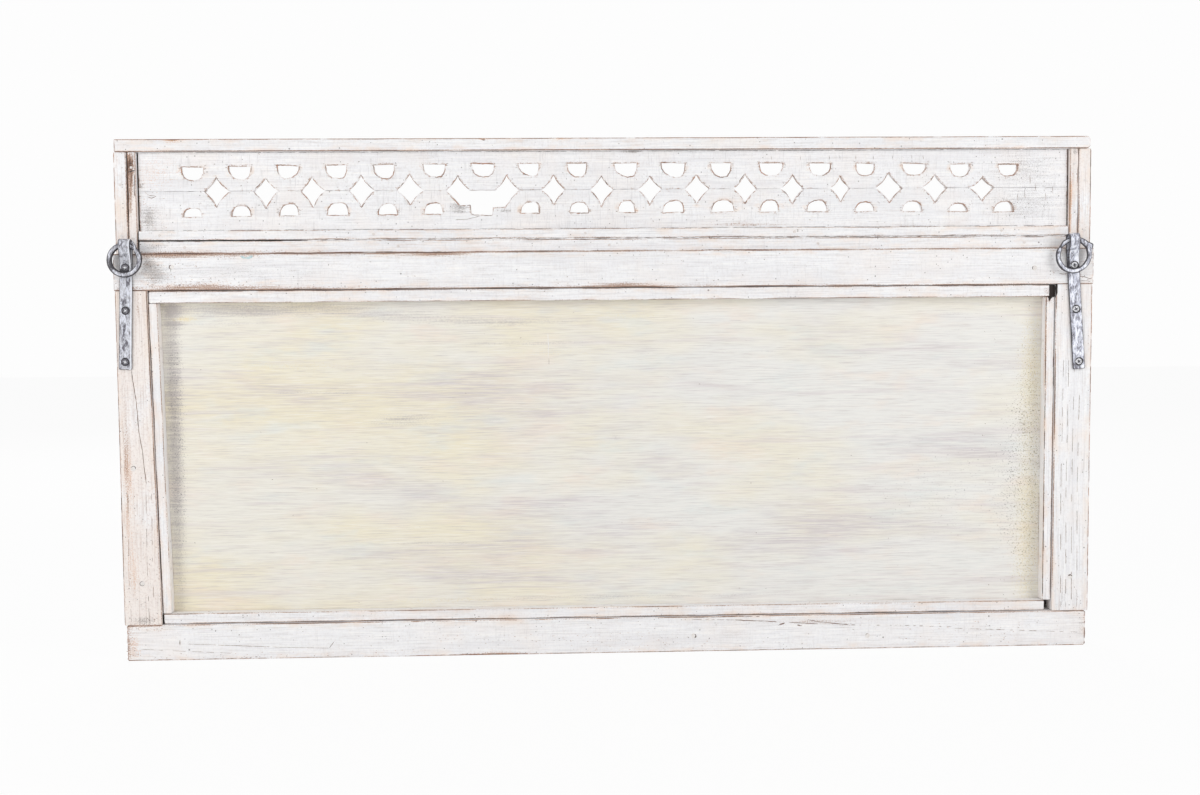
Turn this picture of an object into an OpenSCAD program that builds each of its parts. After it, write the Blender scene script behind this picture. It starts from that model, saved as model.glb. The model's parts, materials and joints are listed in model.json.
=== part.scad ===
// Wall mirror in a reclaimed, whitewashed timber frame with a pierced fretwork
// gallery over the glass. Two layers of boards make the frame. The glass faces -Y
// and the wall side faces +Y. X is along the mirror, Z is up, and the origin is
// the middle of the underside. Left and right are as seen from the glass side.

/* [Frame] */
// Width across the stiles
frame_w = 1098; // [900:1:1300]
// Height from the underside to the top of the cap board
frame_h = 583.4; // [500:0.1:720]
// Thickness of the front boards
front_t = 18; // [16:0.5:26]
// Thickness of the back boards
back_t = 26; // [22:0.5:34]
// Width of each back stile
stile_w = 42; // [36:0.5:60]
// How much narrower the top end of the right back stile is
stile_taper = 7; // [0:0.5:8]
// Height of the back bottom rail
bottom_rail_h = 40.6; // [34:0.1:60]
// How far the back bottom rail stops inside the stiles at each end
bottom_rail_in = 2.5; // [0:0.5:6]
// Height of the back middle rail
mid_rail_h = 41; // [34:0.5:60]
// How far the back middle rail runs past the stiles at each end
mid_rail_out = 1; // [0:0.5:4]
// How far the front boards cover the edge of the glass
sight_lap = 10; // [7:0.5:14]
// Radius of the rounded sight edge of the front boards
sight_round = 7; // [3:0.5:10]
// Wear on the long arrises of the boards
arris = 1.2; // [0.4:0.1:2]

/* [Gallery] */
// Height between the middle rail and the cap board
gallery_h = 112.4; // [100:0.1:140]
// Thickness of the cap board
cap_t = 14; // [12:0.5:20]
// How far each end of the cap board stops inside the stiles
cap_in = 1.5; // [0:0.5:6]
// How far the cap board stands out over the front boards
cap_nose = 4; // [0:0.5:12]
// How far the cap board stands out behind the posts
cap_tail = 1; // [0:0.5:4]
// Corner radius at the left end of the cap board
cap_round_left = 4.5; // [0.5:0.5:6]
// Corner radius at the right end of the cap board
cap_round_right = 1.5; // [0.5:0.5:6]
// Depth of the groove in the cap board that holds the fretwork
cap_groove = 4; // [2:0.5:6]
// Thickness of each outer post, along the mirror
post_w = 14; // [10:0.5:18]
// Depth of the posts, from the front boards backwards
post_d = 18; // [15:0.5:22]
// Width of the filler strip inside each post
filler_w = 9.4; // [6:0.2:12]
// Height of the base strip on the middle rail
base_h = 13.6; // [10:0.2:16]
// Height of the ledge bead behind the foot of the fretwork
ledge_h = 10.4; // [8:0.2:14]
// Thickness of the ledge bead
ledge_t = 7; // [5:0.5:9]
// Open joint between the base strip and the ledge bead
ledge_gap = 1.4; // [0.6:0.2:3]
// How far the front sill stands above the ledge bead
sill_over = 3; // [1:0.5:6]

/* [Fretwork] */
// Thickness of the two fretwork boards
fret_t = 12; // [9:0.5:14]
// Spacing of the pattern along the boards
fret_pitch = 53.9; // [50:0.1:60]
// How far the middle of the pattern lies from the middle of the mirror
fret_shift = 4.5; // [-8:0.5:8]
// Least plain wood at each end of the pattern
fret_margin = 55; // [40:1:70]
// Height between the flat edges of the upper and lower half rounds
flat_span = 56.5; // [50:0.5:60]
// Radius of the upper half rounds
upper_r = 14; // [11:0.5:15]
// Height of the upper half rounds
upper_h = 16; // [12:0.5:17]
// Radius of the lower half rounds
lower_r = 13; // [11:0.5:15]
// Height of the lower half rounds
lower_h = 13; // [10:0.5:15]
// Half width of the diamonds
diamond_w = 13.2; // [10:0.2:15]
// Half height of the diamonds
diamond_h = 16; // [12:0.5:17]
// How far the sides of the diamonds curve in
diamond_bow = 1.6; // [0.8:0.1:2.4]
// Number of the lower half round, from the left, where the fretwork has broken out
broken_cell = 12; // [3:1:14]
// Height of the break below the joint of the two boards
break_h = 17.5; // [14:0.5:19]

/* [Glass and backing] */
// Thickness of the mirror glass
glass_t = 4; // [3:0.5:6]
// Thickness of the backing panel
panel_t = 4; // [3:0.5:6]
// Gap around the edge of the glass and the backing panel
pane_gap = 1.5; // [1:0.5:3]
// Width of the beads at the sides of the backing panel
side_bead_w = 9.8; // [8:0.2:14]
// Height of the bead along the top of the backing panel
top_bead_h = 13.4; // [9:0.2:16]
// Height of the bead along the foot of the backing panel
foot_bead_h = 11.5; // [9:0.5:14]
// How far the beads lie below the back face
bead_set = 2.5; // [1:0.5:5]
// Open joint between the beads and the boards around them
bead_gap = 0.6; // [0.3:0.1:1.5]
// How far the top bead stops short at its left end
top_bead_short = 6; // [1:0.5:10]
// How far the foot bead stops short at its left end
foot_bead_short = 7.5; // [1:0.5:10]

/* [Hangers] */
// Width of the iron straps
strap_w = 14.4; // [12:0.2:18]
// Thickness of the iron straps
strap_t = 2.4; // [2:0.1:3]
// Inner radius of the eye that the ring turns in
eye_r = 4.5; // [4.4:0.1:5.5]
// Slope of the front leaf below the eye, in degrees
leaf_slope = 26; // [22:1:32]
// How far the front leaf runs on below its screw
leaf_tail = 5.5; // [5:0.5:7]
// Thickness of the round bar that the rings are bent from
ring_bar = 6.2; // [5:0.1:6.4]
// Outer diameter of the right ring
ring_right = 39; // [37:0.5:44]
// Outer diameter of the left ring
ring_left = 42; // [40:0.5:46]
// Distance from the outer end of the frame to the right eye
eye_in_right = 15.6; // [12:0.5:24]
// Distance from the outer end of the frame to the left eye
eye_in_left = 26; // [14:0.5:30]
// Height of the eyes above the top of the middle rail
eye_up = 9.4; // [8:0.2:14]
// Lean of the right strap, in degrees
lean_right = 2; // [0:0.5:4]
// Lean of the left strap, in degrees
lean_left = 4; // [0:0.5:5]
// Length of the right strap below its eye
strap_right = 137.5; // [130:0.5:150]
// Length of the left strap below its eye
strap_left = 147; // [140:0.5:160]

/* [Fasteners] */
// Radius of the hanger screw heads
head_r = 4.4; // [3.8:0.1:4.8]
// Radius of the hanger screw shanks
shank_r = 1.9; // [1.6:0.1:2.2]
// Radius of the pegs that join the back boards to the front boards
peg_r = 2.8; // [2:0.1:4]
// Radius of the panel pins
pin_r = 0.7; // [0.5:0.1:0.9]
// Spacing of the pins along the beads
pin_step = 260; // [150:10:400]

/* [Hidden] */
$fn = 48;

WHITEWASH = "whitesmoke";
RAW_EDGE = "antiquewhite";
IRON = "slategray";

// turns that lay a bar along each axis
UP = [0, 0, 0];
DOWN = [180, 0, 0];
RIGHT = [0, 90, 0];
LEFT = [0, -90, 0];
BACK = [-90, 0, 0];
FORWARD = [90, 0, 0];

// clearances
post_seam = 0.7;     // painted joint between a post and its filler
fret_end_gap = 1.6;  // open joint at each end of the fretwork
fit = 0.3;           // clearance of the fretwork in the groove of the cap board
board_joint = 0.3;   // open joint between the two fretwork boards
bead_butt = 0.3;     // open joint where two beads meet
bore_play = 0.05;    // radial play of a peg or pin in its bore
leaf_gap = 0.2;      // seam between the two leaves of a strap
ring_rest = 0.35;    // gap between a hanging ring and the leaf behind it
bore_deep = 0.5;     // how far a bore runs past the end of its pin

// small fixed sizes of the wood
strip_arris = 0.8;   // wear on the edges of the strips and beads
post_set = 0.5;      // how far the posts stop inside the stiles
filler_set = 0.5;    // how far the fillers and the base strip lie inside the posts
scribe_lip = 1.2;    // how far the scribed lip of a front rail stops short
fret_foot = 15.5;    // wood between the ledge bead and the lower half rounds
split_h = 44;        // length of the split at the top of the right filler
split_d = 5;         // depth of that split
split_side = 1.4;    // wood left beside that split

// planes through the depth of the frame
y_front = -(front_t + back_t) / 2;
y_lap = y_front + front_t;
y_back = y_lap + back_t;
y_glass = y_lap + glass_t;
y_panel = y_glass + panel_t;
y_bead = y_back - bead_set;
y_post = y_lap + post_d;
y_filler = y_post - filler_set;
y_fret = y_lap + fret_t;
y_pin = (y_panel + y_bead) / 2;

// heights
z_cap = frame_h - cap_t;
z_rail_top = z_cap - gallery_h;
z_rail = z_rail_top - mid_rail_h;
z_base = z_rail_top + base_h;
z_ledge = z_base + ledge_gap;
z_ledge_top = z_ledge + ledge_h;
z_sill_top = z_ledge_top + sill_over;
z_sight_foot = bottom_rail_h + sight_lap;
z_sight_top = z_rail - sight_lap;
z_bead_top = z_rail - bead_gap - top_bead_h;
z_bead_foot = bottom_rail_h + bead_gap + foot_bead_h;

// widths, as distances from the middle
x_out = frame_w / 2;
x_in = x_out - stile_w;
x_sight = x_in - sight_lap;
x_post = x_out - post_set;
x_filler = x_post - post_w - post_seam;
x_fret = x_filler - filler_w - fret_end_gap;
bead_lean = atan(stile_taper / (z_rail - bottom_rail_h));

// fretwork pattern
fret_count = floor((2 * x_fret - 2 * fret_margin) / fret_pitch) + 1;
fret_first = fret_shift - (fret_count - 1) * fret_pitch / 2;
z_flat_low = z_ledge_top + fret_foot;
z_joint = z_flat_low + flat_span / 2;
z_flat_high = z_flat_low + flat_span;
broken = min(broken_cell, fret_count - 1);
tip_blunt = 0.4;     // how far the points of the diamonds are cut short

// hangers: a strap folded around the ring, with two leaves below the fold
eye_out = eye_r + strap_t;
leaf_front = strap_t + leaf_gap;
leaf_face = leaf_front + strap_t;
neck_run = (eye_r * (1 + cos(leaf_slope)) - leaf_gap) / sin(leaf_slope);
neck_drop = eye_r * sin(leaf_slope) + neck_run * cos(leaf_slope);
neck_mitre = strap_t * tan(leaf_slope / 2);
screw_first = 5.5;   // from the neck of the fold to the first screw of the right strap
screw_lower = 4.4;   // how much lower the first screw of the left strap is
screw_last = 8.5;    // from the last screw to the foot of a strap
screw_second = 0.455; // place of the second screw between the first and the last
head_h = 2.2;        // depth of the conical part of a screw head
dome_h = 1.1;        // rise of a screw head above its rim
cross_l = 5;         // length of the recess in a screw head
cross_w = 1.2;       // width of that recess
cross_d = 1.6;       // depth of that recess
screw_len = 18;      // length of a shank in the wood
z_eye = z_rail_top + eye_up;

// pegs through the back boards: [distance from the middle, height]
stile_length = z_rail - bottom_rail_h;
peg_places = [
    [x_in - stile_w * 0.5, z_rail_top - mid_rail_h * 0.366],
    [-(x_in - stile_w * 0.595), z_rail_top - mid_rail_h * 0.549],
    [x_out - stile_w / 2, bottom_rail_h + stile_length * 0.1265],
    [-(x_out - stile_w / 2), bottom_rail_h + stile_length * 0.1066],
    [x_out - stile_w * 0.357, bottom_rail_h + stile_length * 0.4734],
    [-frame_w * 0.085, bottom_rail_h * 0.45],
    [-frame_w * 0.267, bottom_rail_h * 0.38]];
peg_bite = 11;       // how far a peg runs into the front board
peg_proud = 0.4;     // how far a peg stands out at the back

// pins and nails
pin_len = 22;
pin_head_r = 1.5;
pin_head_t = 0.5;
end_margin = 50;     // from the end of a strip to its first pin
post_pin_up = 20;    // from the middle rail to the lower pin of a post
filler_pin_up = 17;  // from the middle rail to the lower pin of a filler, and from the cap to its upper one
nail_clear = 8;      // from the point of a cap nail to the upper pin of a post
nail_r = 1.2;
nail_head_r = 2.6;
nail_head_t = 1;
nail_len = 42;

// Even places for pins along a strip from a to b
function pin_row(a, b) =
    let (n = max(1, round((b - a - 2 * end_margin) / pin_step)))
    [for (i = [0 : n]) a + end_margin + (b - a - 2 * end_margin) * i / n];

// Inner face of a side bead at height z, as a distance from the middle
function bead_face(side, z) =
    x_in - bead_gap - side_bead_w + (side > 0 ? (z - bottom_rail_h) * tan(bead_lean) : 0);

// Every pin as [point under its head, turn, length]
pin_list = concat(
    [for (x = pin_row(-x_in, x_in)) [[x, y_pin, z_bead_top], UP, pin_len]],
    [for (x = pin_row(-x_in, x_in)) [[x, y_pin, z_bead_foot], DOWN, pin_len]],
    [for (z = pin_row(z_bead_foot, z_bead_top)) [[-bead_face(-1, z), y_pin, z], LEFT, pin_len]],
    [for (z = pin_row(z_bead_foot, z_bead_top))
        [[bead_face(1, z), y_pin, z], RIGHT + [0, bead_lean, 0], pin_len]],
    [for (x = pin_row(-x_fret, x_fret)) [[x + fret_pitch / 2, y_fret + ledge_t, z_ledge + ledge_h / 2],
        FORWARD, ledge_t + fret_t * 0.6]],
    [for (x = pin_row(-x_fret, x_fret)) [[x, y_filler, z_rail_top + base_h / 2], FORWARD, pin_len]],
    [for (side = [-1, 1], end = [0, 1]) [[side * (x_post - post_w / 2), y_post,
        end == 0 ? z_rail_top + post_pin_up : frame_h - nail_len - nail_clear], FORWARD, pin_len]],
    [for (side = [-1, 1], end = [0, 1]) [[side * (x_filler - filler_w / 2), y_filler,
        end == 0 ? z_rail_top + filler_pin_up : z_cap - filler_pin_up], FORWARD, pin_len]]);

nail_places = [for (side = [-1, 1], p = [[x_post - post_w / 2, (y_lap + y_post) / 2],
    [(x_sight + x_out) / 2, y_front + front_t / 2]]) [side * p[0], p[1]]];

// Rounded rectangle from [a0, b0] to [a1, b1]
module rounded(a0, a1, b0, b1, r) {
    translate([a0 + r, b0]) square([a1 - a0 - 2 * r, b1 - b0]);
    translate([a0, b0 + r]) square([a1 - a0, b1 - b0 - 2 * r]);
    for (a = [a0 + r, a1 - r], b = [b0 + r, b1 - r]) translate([a, b]) circle(r);
}

// Quarter round taken off a corner at [a, b], which lies towards [da, db]
module corner_cut(a, b, da, db, r) {
    difference() {
        translate([a - (da > 0 ? r : 0), b - (db > 0 ? r : 0)]) square(r);
        translate([a - da * r, b - db * r]) circle(r);
    }
}

// Lays a profile drawn in Y and Z along X
module along_x(x0, x1) {
    translate([x0, 0, 0]) rotate([90, 0, 90]) linear_extrude(x1 - x0) children();
}

// Lays a profile drawn in X and Y along Z
module along_z(z0, z1) {
    translate([0, 0, z0]) linear_extrude(z1 - z0) children();
}

module board_x(x0, x1, y0, y1, z0, z1, r = arris) {
    along_x(x0, x1) rounded(y0, y1, z0, z1, r);
}

module board_z(x0, x1, y0, y1, z0, z1, r = arris) {
    along_z(z0, z1) rounded(x0, x1, y0, y1, r);
}

// Round bar along +Y, from y0 to y1
module rod_y(x, y0, y1, z, r) {
    translate([x, y0, z]) rotate([-90, 0, 0]) cylinder(h = y1 - y0, r = r);
}

// Round bar from a point, along +X, -X, +Z or -Z
module rod(p, turn, h, r) {
    translate(p) rotate(turn) cylinder(h = h, r = r);
}

// side is -1 for left and 1 for right
module front_stile_bar(side) {
    a0 = side > 0 ? x_sight : -x_out;
    a1 = side > 0 ? x_out : -x_sight;
    along_z(0, z_cap) difference() {
        rounded(a0, a1, y_front, y_lap, arris);
        corner_cut(side * x_sight, y_front, -side, -1, sight_round);
    }
}

module front_stile(side) {
    color(WHITEWASH) difference() {
        front_stile_bar(side);
        peg_bores();
        pin_bores();
        nail_bores();
    }
}

// Front rail with a sight edge at its top or its foot. Its ends are scribed over
// the rounded edges of the stiles
module front_rail(z0, z1, top_edge, foot_edge) {
    reach = x_sight + sight_round - scribe_lip;
    color(WHITEWASH) difference() {
        along_x(-reach, reach) difference() {
            rounded(y_front, y_lap, z0, z1, arris);
            if (top_edge) corner_cut(y_front, z1, -1, 1, sight_round);
            if (foot_edge) corner_cut(y_front, z0, -1, -1, sight_round);
        }
        for (side = [-1, 1]) along_z(z0 - 1, z1 + 1) {
            translate([side * (x_sight + sight_round), y_front + sight_round]) circle(sight_round);
            translate([side > 0 ? x_sight : -x_sight - 2 * sight_round, y_front + sight_round])
                square([2 * sight_round, front_t]);
        }
        peg_bores();
        pin_bores();
    }
}

module back_stile(side) {
    narrow = side > 0 ? stile_taper : 0;
    color(WHITEWASH) difference() {
        board_z(side > 0 ? x_in : -x_out, side > 0 ? x_out : -x_in, y_lap, y_back,
            bottom_rail_h, z_rail);
        if (narrow > 0) translate([0, y_back + 1, 0]) rotate([90, 0, 0])
            linear_extrude(back_t + 2) polygon([[x_in - 1, bottom_rail_h], [x_in, bottom_rail_h],
                [x_in + narrow, z_rail], [x_in + narrow, z_rail + 1], [x_in - 1, z_rail + 1]]);
        peg_bores();
        pin_bores();
        screw_bores();
    }
}

module back_bottom_rail() {
    color(WHITEWASH) difference() {
        board_x(-x_out + bottom_rail_in, x_out - bottom_rail_in, y_lap, y_back, 0, bottom_rail_h);
        peg_bores();
        pin_bores();
    }
}

module back_middle_rail() {
    color(WHITEWASH) difference() {
        board_x(-x_out - mid_rail_out, x_out + mid_rail_out, y_lap, y_back, z_rail, z_rail_top);
        peg_bores();
        pin_bores();
        screw_bores();
    }
}

module cap_board() {
    x0 = -x_out + cap_in;
    x1 = x_out - cap_in;
    y0 = y_front - cap_nose;
    y1 = y_post + cap_tail;
    color(WHITEWASH) difference() {
        intersection() {
            board_x(x0, x1, y0, y1, z_cap, frame_h, arris);
            translate([0, y1 + 1, 0]) rotate([90, 0, 0]) linear_extrude(y1 - y0 + 2) difference() {
                translate([x0, z_cap]) square([x1 - x0, cap_t]);
                for (v = [[z_cap, -1], [frame_h, 1]]) {
                    corner_cut(x0, v[0], -1, v[1], cap_round_left);
                    corner_cut(x1, v[0], 1, v[1], cap_round_right);
                }
            }
        }
        translate([-x_fret - fit, y_lap - fit, z_cap - 1])
            cube([2 * (x_fret + fit), fret_t + 2 * fit, cap_groove + 1]);
        nail_bores();
    }
}

module post(side) {
    color(RAW_EDGE) difference() {
        board_z(side > 0 ? x_post - post_w : -x_post, side > 0 ? x_post : -x_post + post_w,
            y_lap, y_post, z_rail_top, z_cap);
        nail_bores();
        pin_bores();
    }
}

// The right filler is split out at its top, where it was nailed
module filler(side) {
    a0 = side > 0 ? x_filler - filler_w : -x_filler;
    color(RAW_EDGE) difference() {
        board_z(a0, a0 + filler_w, y_lap, y_filler, z_rail_top, z_cap, strip_arris);
        if (side > 0) translate([a0, y_filler + 1, z_cap]) rotate([90, 0, 0])
            linear_extrude(split_d + 1) polygon([[split_side, 1], [split_side * 1.5, -split_h * 0.5],
                [filler_w * 0.3, -split_h], [filler_w - split_side, -split_h * 0.55],
                [filler_w - split_side / 2, 1]]);
        pin_bores();
    }
}

module base_strip() {
    color(WHITEWASH) difference() {
        board_x(-x_fret, x_fret, y_lap, y_filler, z_rail_top, z_base, strip_arris);
        pin_bores();
    }
}

module ledge_bead() {
    color(WHITEWASH) difference() {
        board_x(-x_fret, x_fret, y_fret, y_fret + ledge_t, z_ledge, z_ledge_top, strip_arris);
        pin_bores();
    }
}

// Diamond with sides that curve in and blunt points
module diamond() {
    chord = sqrt(pow(diamond_w, 2) + pow(diamond_h, 2));
    side_r = pow(chord, 2) / (8 * diamond_bow) + diamond_bow / 2;
    reach = side_r - diamond_bow;
    difference() {
        square([2 * (diamond_w - tip_blunt), 2 * (diamond_h - tip_blunt)], center = true);
        for (a = [-1, 1], b = [-1, 1])
            translate([a * (diamond_w / 2 + reach * diamond_h / chord),
                b * (diamond_h / 2 + reach * diamond_w / chord)]) circle(side_r, $fn = 96);
    }
}

// Half round whose flat edge lies on y = 0 and whose round side is up
module half_round(r, h) {
    intersection() {
        translate([0, h - r]) circle(r);
        translate([-r - 1, 0]) square([2 * r + 2, h + 1]);
    }
}

// All the openings of the fretwork, drawn in X and Z
module fret_openings() {
    for (i = [0 : fret_count - 1]) {
        x = fret_first + i * fret_pitch;
        translate([x, z_flat_low]) half_round(lower_r, lower_h);
        translate([x, z_flat_high]) mirror([0, 1]) half_round(upper_r, upper_h);
        if (i < fret_count - 1) translate([x + fret_pitch / 2, z_joint]) diamond();
    }
}

// Where the bridge between two diamonds has broken out of the lower board
module fret_break() {
    x = fret_first + (broken - 1) * fret_pitch;
    translate([x - fret_pitch / 2 - 0.5, z_joint - break_h]) square([fret_pitch + 1, break_h + 1]);
}

module fret_board(z0, z1) {
    translate([0, y_fret, 0]) rotate([90, 0, 0]) linear_extrude(fret_t) difference() {
        translate([-x_fret, z0]) square([2 * x_fret, z1 - z0]);
        fret_openings();
        if (z0 < z_joint - break_h) fret_break();
    }
}

module fret_board_upper() {
    color(WHITEWASH) fret_board(z_joint + board_joint / 2, z_cap + cap_groove - fit);
}

module fret_board_lower() {
    color(WHITEWASH) difference() {
        fret_board(z_base, z_joint - board_joint / 2);
        pin_bores();
    }
}

module pane(y0, y1) {
    x = x_in - pane_gap;
    translate([-x, y0, bottom_rail_h + pane_gap])
        cube([2 * x, y1 - y0, z_rail - bottom_rail_h - 2 * pane_gap]);
}

module mirror_glass() { color("lightsteelblue") pane(y_lap, y_glass); }

module backing_panel() { color("cornsilk") pane(y_glass, y_panel); }

module bead_top() {
    color(WHITEWASH) difference() {
        board_x(-x_in + bead_gap + top_bead_short, x_in + stile_taper - 2 * bead_gap, y_panel, y_bead,
            z_bead_top, z_bead_top + top_bead_h, strip_arris);
        pin_bores();
    }
}

module bead_foot() {
    color(WHITEWASH) difference() {
        board_x(-x_in + bead_gap + foot_bead_short, x_in - bead_gap, y_panel, y_bead,
            bottom_rail_h + bead_gap, z_bead_foot, strip_arris);
        pin_bores();
    }
}

// Each side bead follows its stile
module side_bead(side) {
    z0 = z_bead_foot + bead_butt;
    z1 = z_bead_top - bead_butt;
    face = bead_face(side, z0);
    color(WHITEWASH) difference() {
        if (side > 0) intersection() {
            translate([face, 0, z0]) rotate([0, bead_lean, 0])
                board_z(0, side_bead_w, y_panel, y_bead, -5, z1 - z0 + 5, strip_arris);
            translate([0, y_panel - 1, z0]) cube([x_out, y_bead - y_panel + 2, z1 - z0]);
        }
        else board_z(-face - side_bead_w, -face, y_panel, y_bead, z0, z1, strip_arris);
        pin_bores();
    }
}

// Places children in the frame of a hanger: X along the axis of its eye, Y out of
// the back face, Z up its strap, with the origin on the back face beside the eye
module at_hanger(side) {
    x = x_out + mid_rail_out - (side > 0 ? eye_in_right : eye_in_left);
    translate([side * x, y_back, z_eye]) rotate([0, side > 0 ? -lean_right : lean_left, 0]) children();
}

function strap_length(side) = side > 0 ? strap_right : strap_left;

// How far down its strap each screw of a hanger lies
function screw_drops(side) =
    let (first = neck_drop + screw_first + (side > 0 ? 0 : screw_lower),
        last = strap_length(side) - screw_last)
    [first, first + (last - first) * screw_second, last];

function leaf_end(side) = screw_drops(side)[0] + leaf_tail;

// Section of a strap: the back leaf, the eye and the front leaf over the first screw
module strap_section(side) {
    centre = [eye_out, 0];
    tip = [cos(leaf_slope), -sin(leaf_slope)];
    foot = -strap_length(side);
    lap = -leaf_end(side);
    difference() {
        union() {
            translate(centre) circle(eye_out, $fn = 96);
            polygon([[0, 0], [0, foot], [strap_t, foot], [strap_t, lap], [leaf_face, lap],
                [leaf_face, -neck_drop - neck_mitre], centre + eye_out * tip, centre + [0, 1]]);
        }
        translate(centre) circle(eye_r, $fn = 96);
        polygon([[strap_t, 0], [strap_t, lap - 1], [leaf_front, lap - 1], [leaf_front, -neck_drop],
            centre + eye_r * tip, centre + [0, 2]]);
    }
}

function surface_at(i) = i == 0 ? leaf_face : strap_t;

module hanger_strap(side) {
    color(IRON) at_hanger(side) difference() {
        along_x(-strap_w / 2, strap_w / 2) strap_section(side);
        for (i = [0 : 2]) translate([0, surface_at(i), -screw_drops(side)[i]]) rotate([90, 0, 0]) {
            translate([0, 0, -1]) cylinder(h = 12, r = shank_r + 0.3);
            translate([0, 0, -0.01]) cylinder(h = head_h, r1 = head_r + 0.15, r2 = shank_r + 0.15);
            translate([0, 0, -3]) cylinder(h = 3, r = head_r + 0.15);
        }
    }
}

// Raised countersunk screw with a cross recess, its rim on z = 0 and its head up
module hanger_screw(length) {
    dome_r = (pow(head_r, 2) + pow(dome_h, 2)) / (2 * dome_h);
    difference() {
        union() {
            translate([0, 0, -length]) cylinder(h = length, r = shank_r);
            translate([0, 0, -head_h]) cylinder(h = head_h, r1 = shank_r, r2 = head_r);
            intersection() {
                translate([0, 0, dome_h - dome_r]) sphere(dome_r);
                cylinder(h = dome_h + 1, r = head_r);
            }
        }
        for (turn = [20, 110]) rotate(turn) translate([-cross_l / 2, -cross_w / 2, dome_h - cross_d])
            cube([cross_l, cross_w, cross_d + 1]);
    }
}

module hanger_screws(side) {
    color("silver") at_hanger(side) for (i = [0 : 2])
        translate([0, surface_at(i), -screw_drops(side)[i]]) rotate([-90, 0, 0])
            hanger_screw(surface_at(i) + screw_len);
}

function ring_od(side) = side > 0 ? ring_right : ring_left;

// The bar of a ring is curved, so the ring hangs with its bar centred in the eye
// and leans on the front leaf of its strap
module hanger_ring(side) {
    bend_r = (ring_od(side) - ring_bar) / 2;
    sag = bend_r - sqrt(pow(bend_r, 2) - pow(strap_w / 2, 2));
    drop = bend_r - sag / 2;
    tilt = asin((leaf_face + ring_bar / 2 + ring_rest - eye_out) / (drop + bend_r));
    color(IRON) at_hanger(side) translate([0, eye_out, 0]) rotate([tilt, 0, 0])
        translate([0, 0, -drop]) rotate([90, 0, 0])
            rotate_extrude($fn = 96) translate([bend_r, 0]) circle(ring_bar / 2, $fn = 48);
}

module screw_bores() {
    for (side = [-1, 1]) at_hanger(side) for (d = screw_drops(side))
        rod([0, 1, -d], FORWARD, screw_len + 1 + bore_deep, shank_r + bore_play);
}

module peg_bores() {
    for (p = peg_places) rod_y(p[0], y_lap - peg_bite - bore_deep, y_back + 1, p[1], peg_r + bore_play);
}

module frame_pegs() {
    color(RAW_EDGE) for (p = peg_places) rod_y(p[0], y_lap - peg_bite, y_back + peg_proud, p[1], peg_r);
}

module pin_bores() {
    for (p = pin_list) translate(p[0]) rotate(p[1]) translate([0, 0, -1])
        cylinder(h = p[2] + bore_deep + 1, r = pin_r + bore_play);
}

module bead_pins() {
    color("dimgray") for (p = pin_list) {
        rod(p[0], p[1], p[2], pin_r);
        translate(p[0]) rotate(p[1]) translate([0, 0, -pin_head_t]) cylinder(h = pin_head_t, r = pin_head_r);
    }
}

module nail_bores() {
    for (p = nail_places) {
        rod([p[0], p[1], frame_h + 1], DOWN, nail_len + 1 + bore_deep, nail_r + bore_play);
        rod([p[0], p[1], frame_h + 1], DOWN, nail_head_t + 1, nail_head_r + bore_play);
    }
}

module cap_nails() {
    color("dimgray") for (p = nail_places) {
        rod([p[0], p[1], frame_h], DOWN, nail_len, nail_r);
        rod([p[0], p[1], frame_h], DOWN, nail_head_t, nail_head_r);
    }
}

front_stile(-1);  // front_stile_left
front_stile(1);  // front_stile_right
front_rail(0, z_sight_foot, true, false);  // front_bottom_rail
front_rail(z_sight_top, z_rail_top, false, true);  // front_transom
front_rail(z_rail_top, z_sill_top, true, false);  // front_fret_sill
cap_board();
back_stile(-1);  // back_stile_left
back_stile(1);  // back_stile_right
back_bottom_rail();
back_middle_rail();
post(-1);  // post_left
post(1);  // post_right
filler(-1);  // filler_left
filler(1);  // filler_right
base_strip();
ledge_bead();
fret_board_upper();
fret_board_lower();
mirror_glass();
backing_panel();
bead_top();
bead_foot();
side_bead(-1);  // bead_left
side_bead(1);  // bead_right
hanger_strap(-1);  // hanger_strap_left
hanger_strap(1);  // hanger_strap_right
hanger_ring(-1);  // hanger_ring_left
hanger_ring(1);  // hanger_ring_right
hanger_screws(-1);  // hanger_screws_left
hanger_screws(1);  // hanger_screws_right
frame_pegs();
bead_pins();
cap_nails();
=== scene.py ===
"""Looks of a wall mirror in a reclaimed, whitewashed timber frame, seen from its back.

Lengths are in millimetres in the row frame, and MM turns them into metres. X is
along the mirror, Y points out of its back, and Z is up.
"""

import json
import math
import zlib

import bmesh
import bpy
import numpy as np
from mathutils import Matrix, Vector, kdtree
from mathutils.geometry import delaunay_2d_cdt

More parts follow.
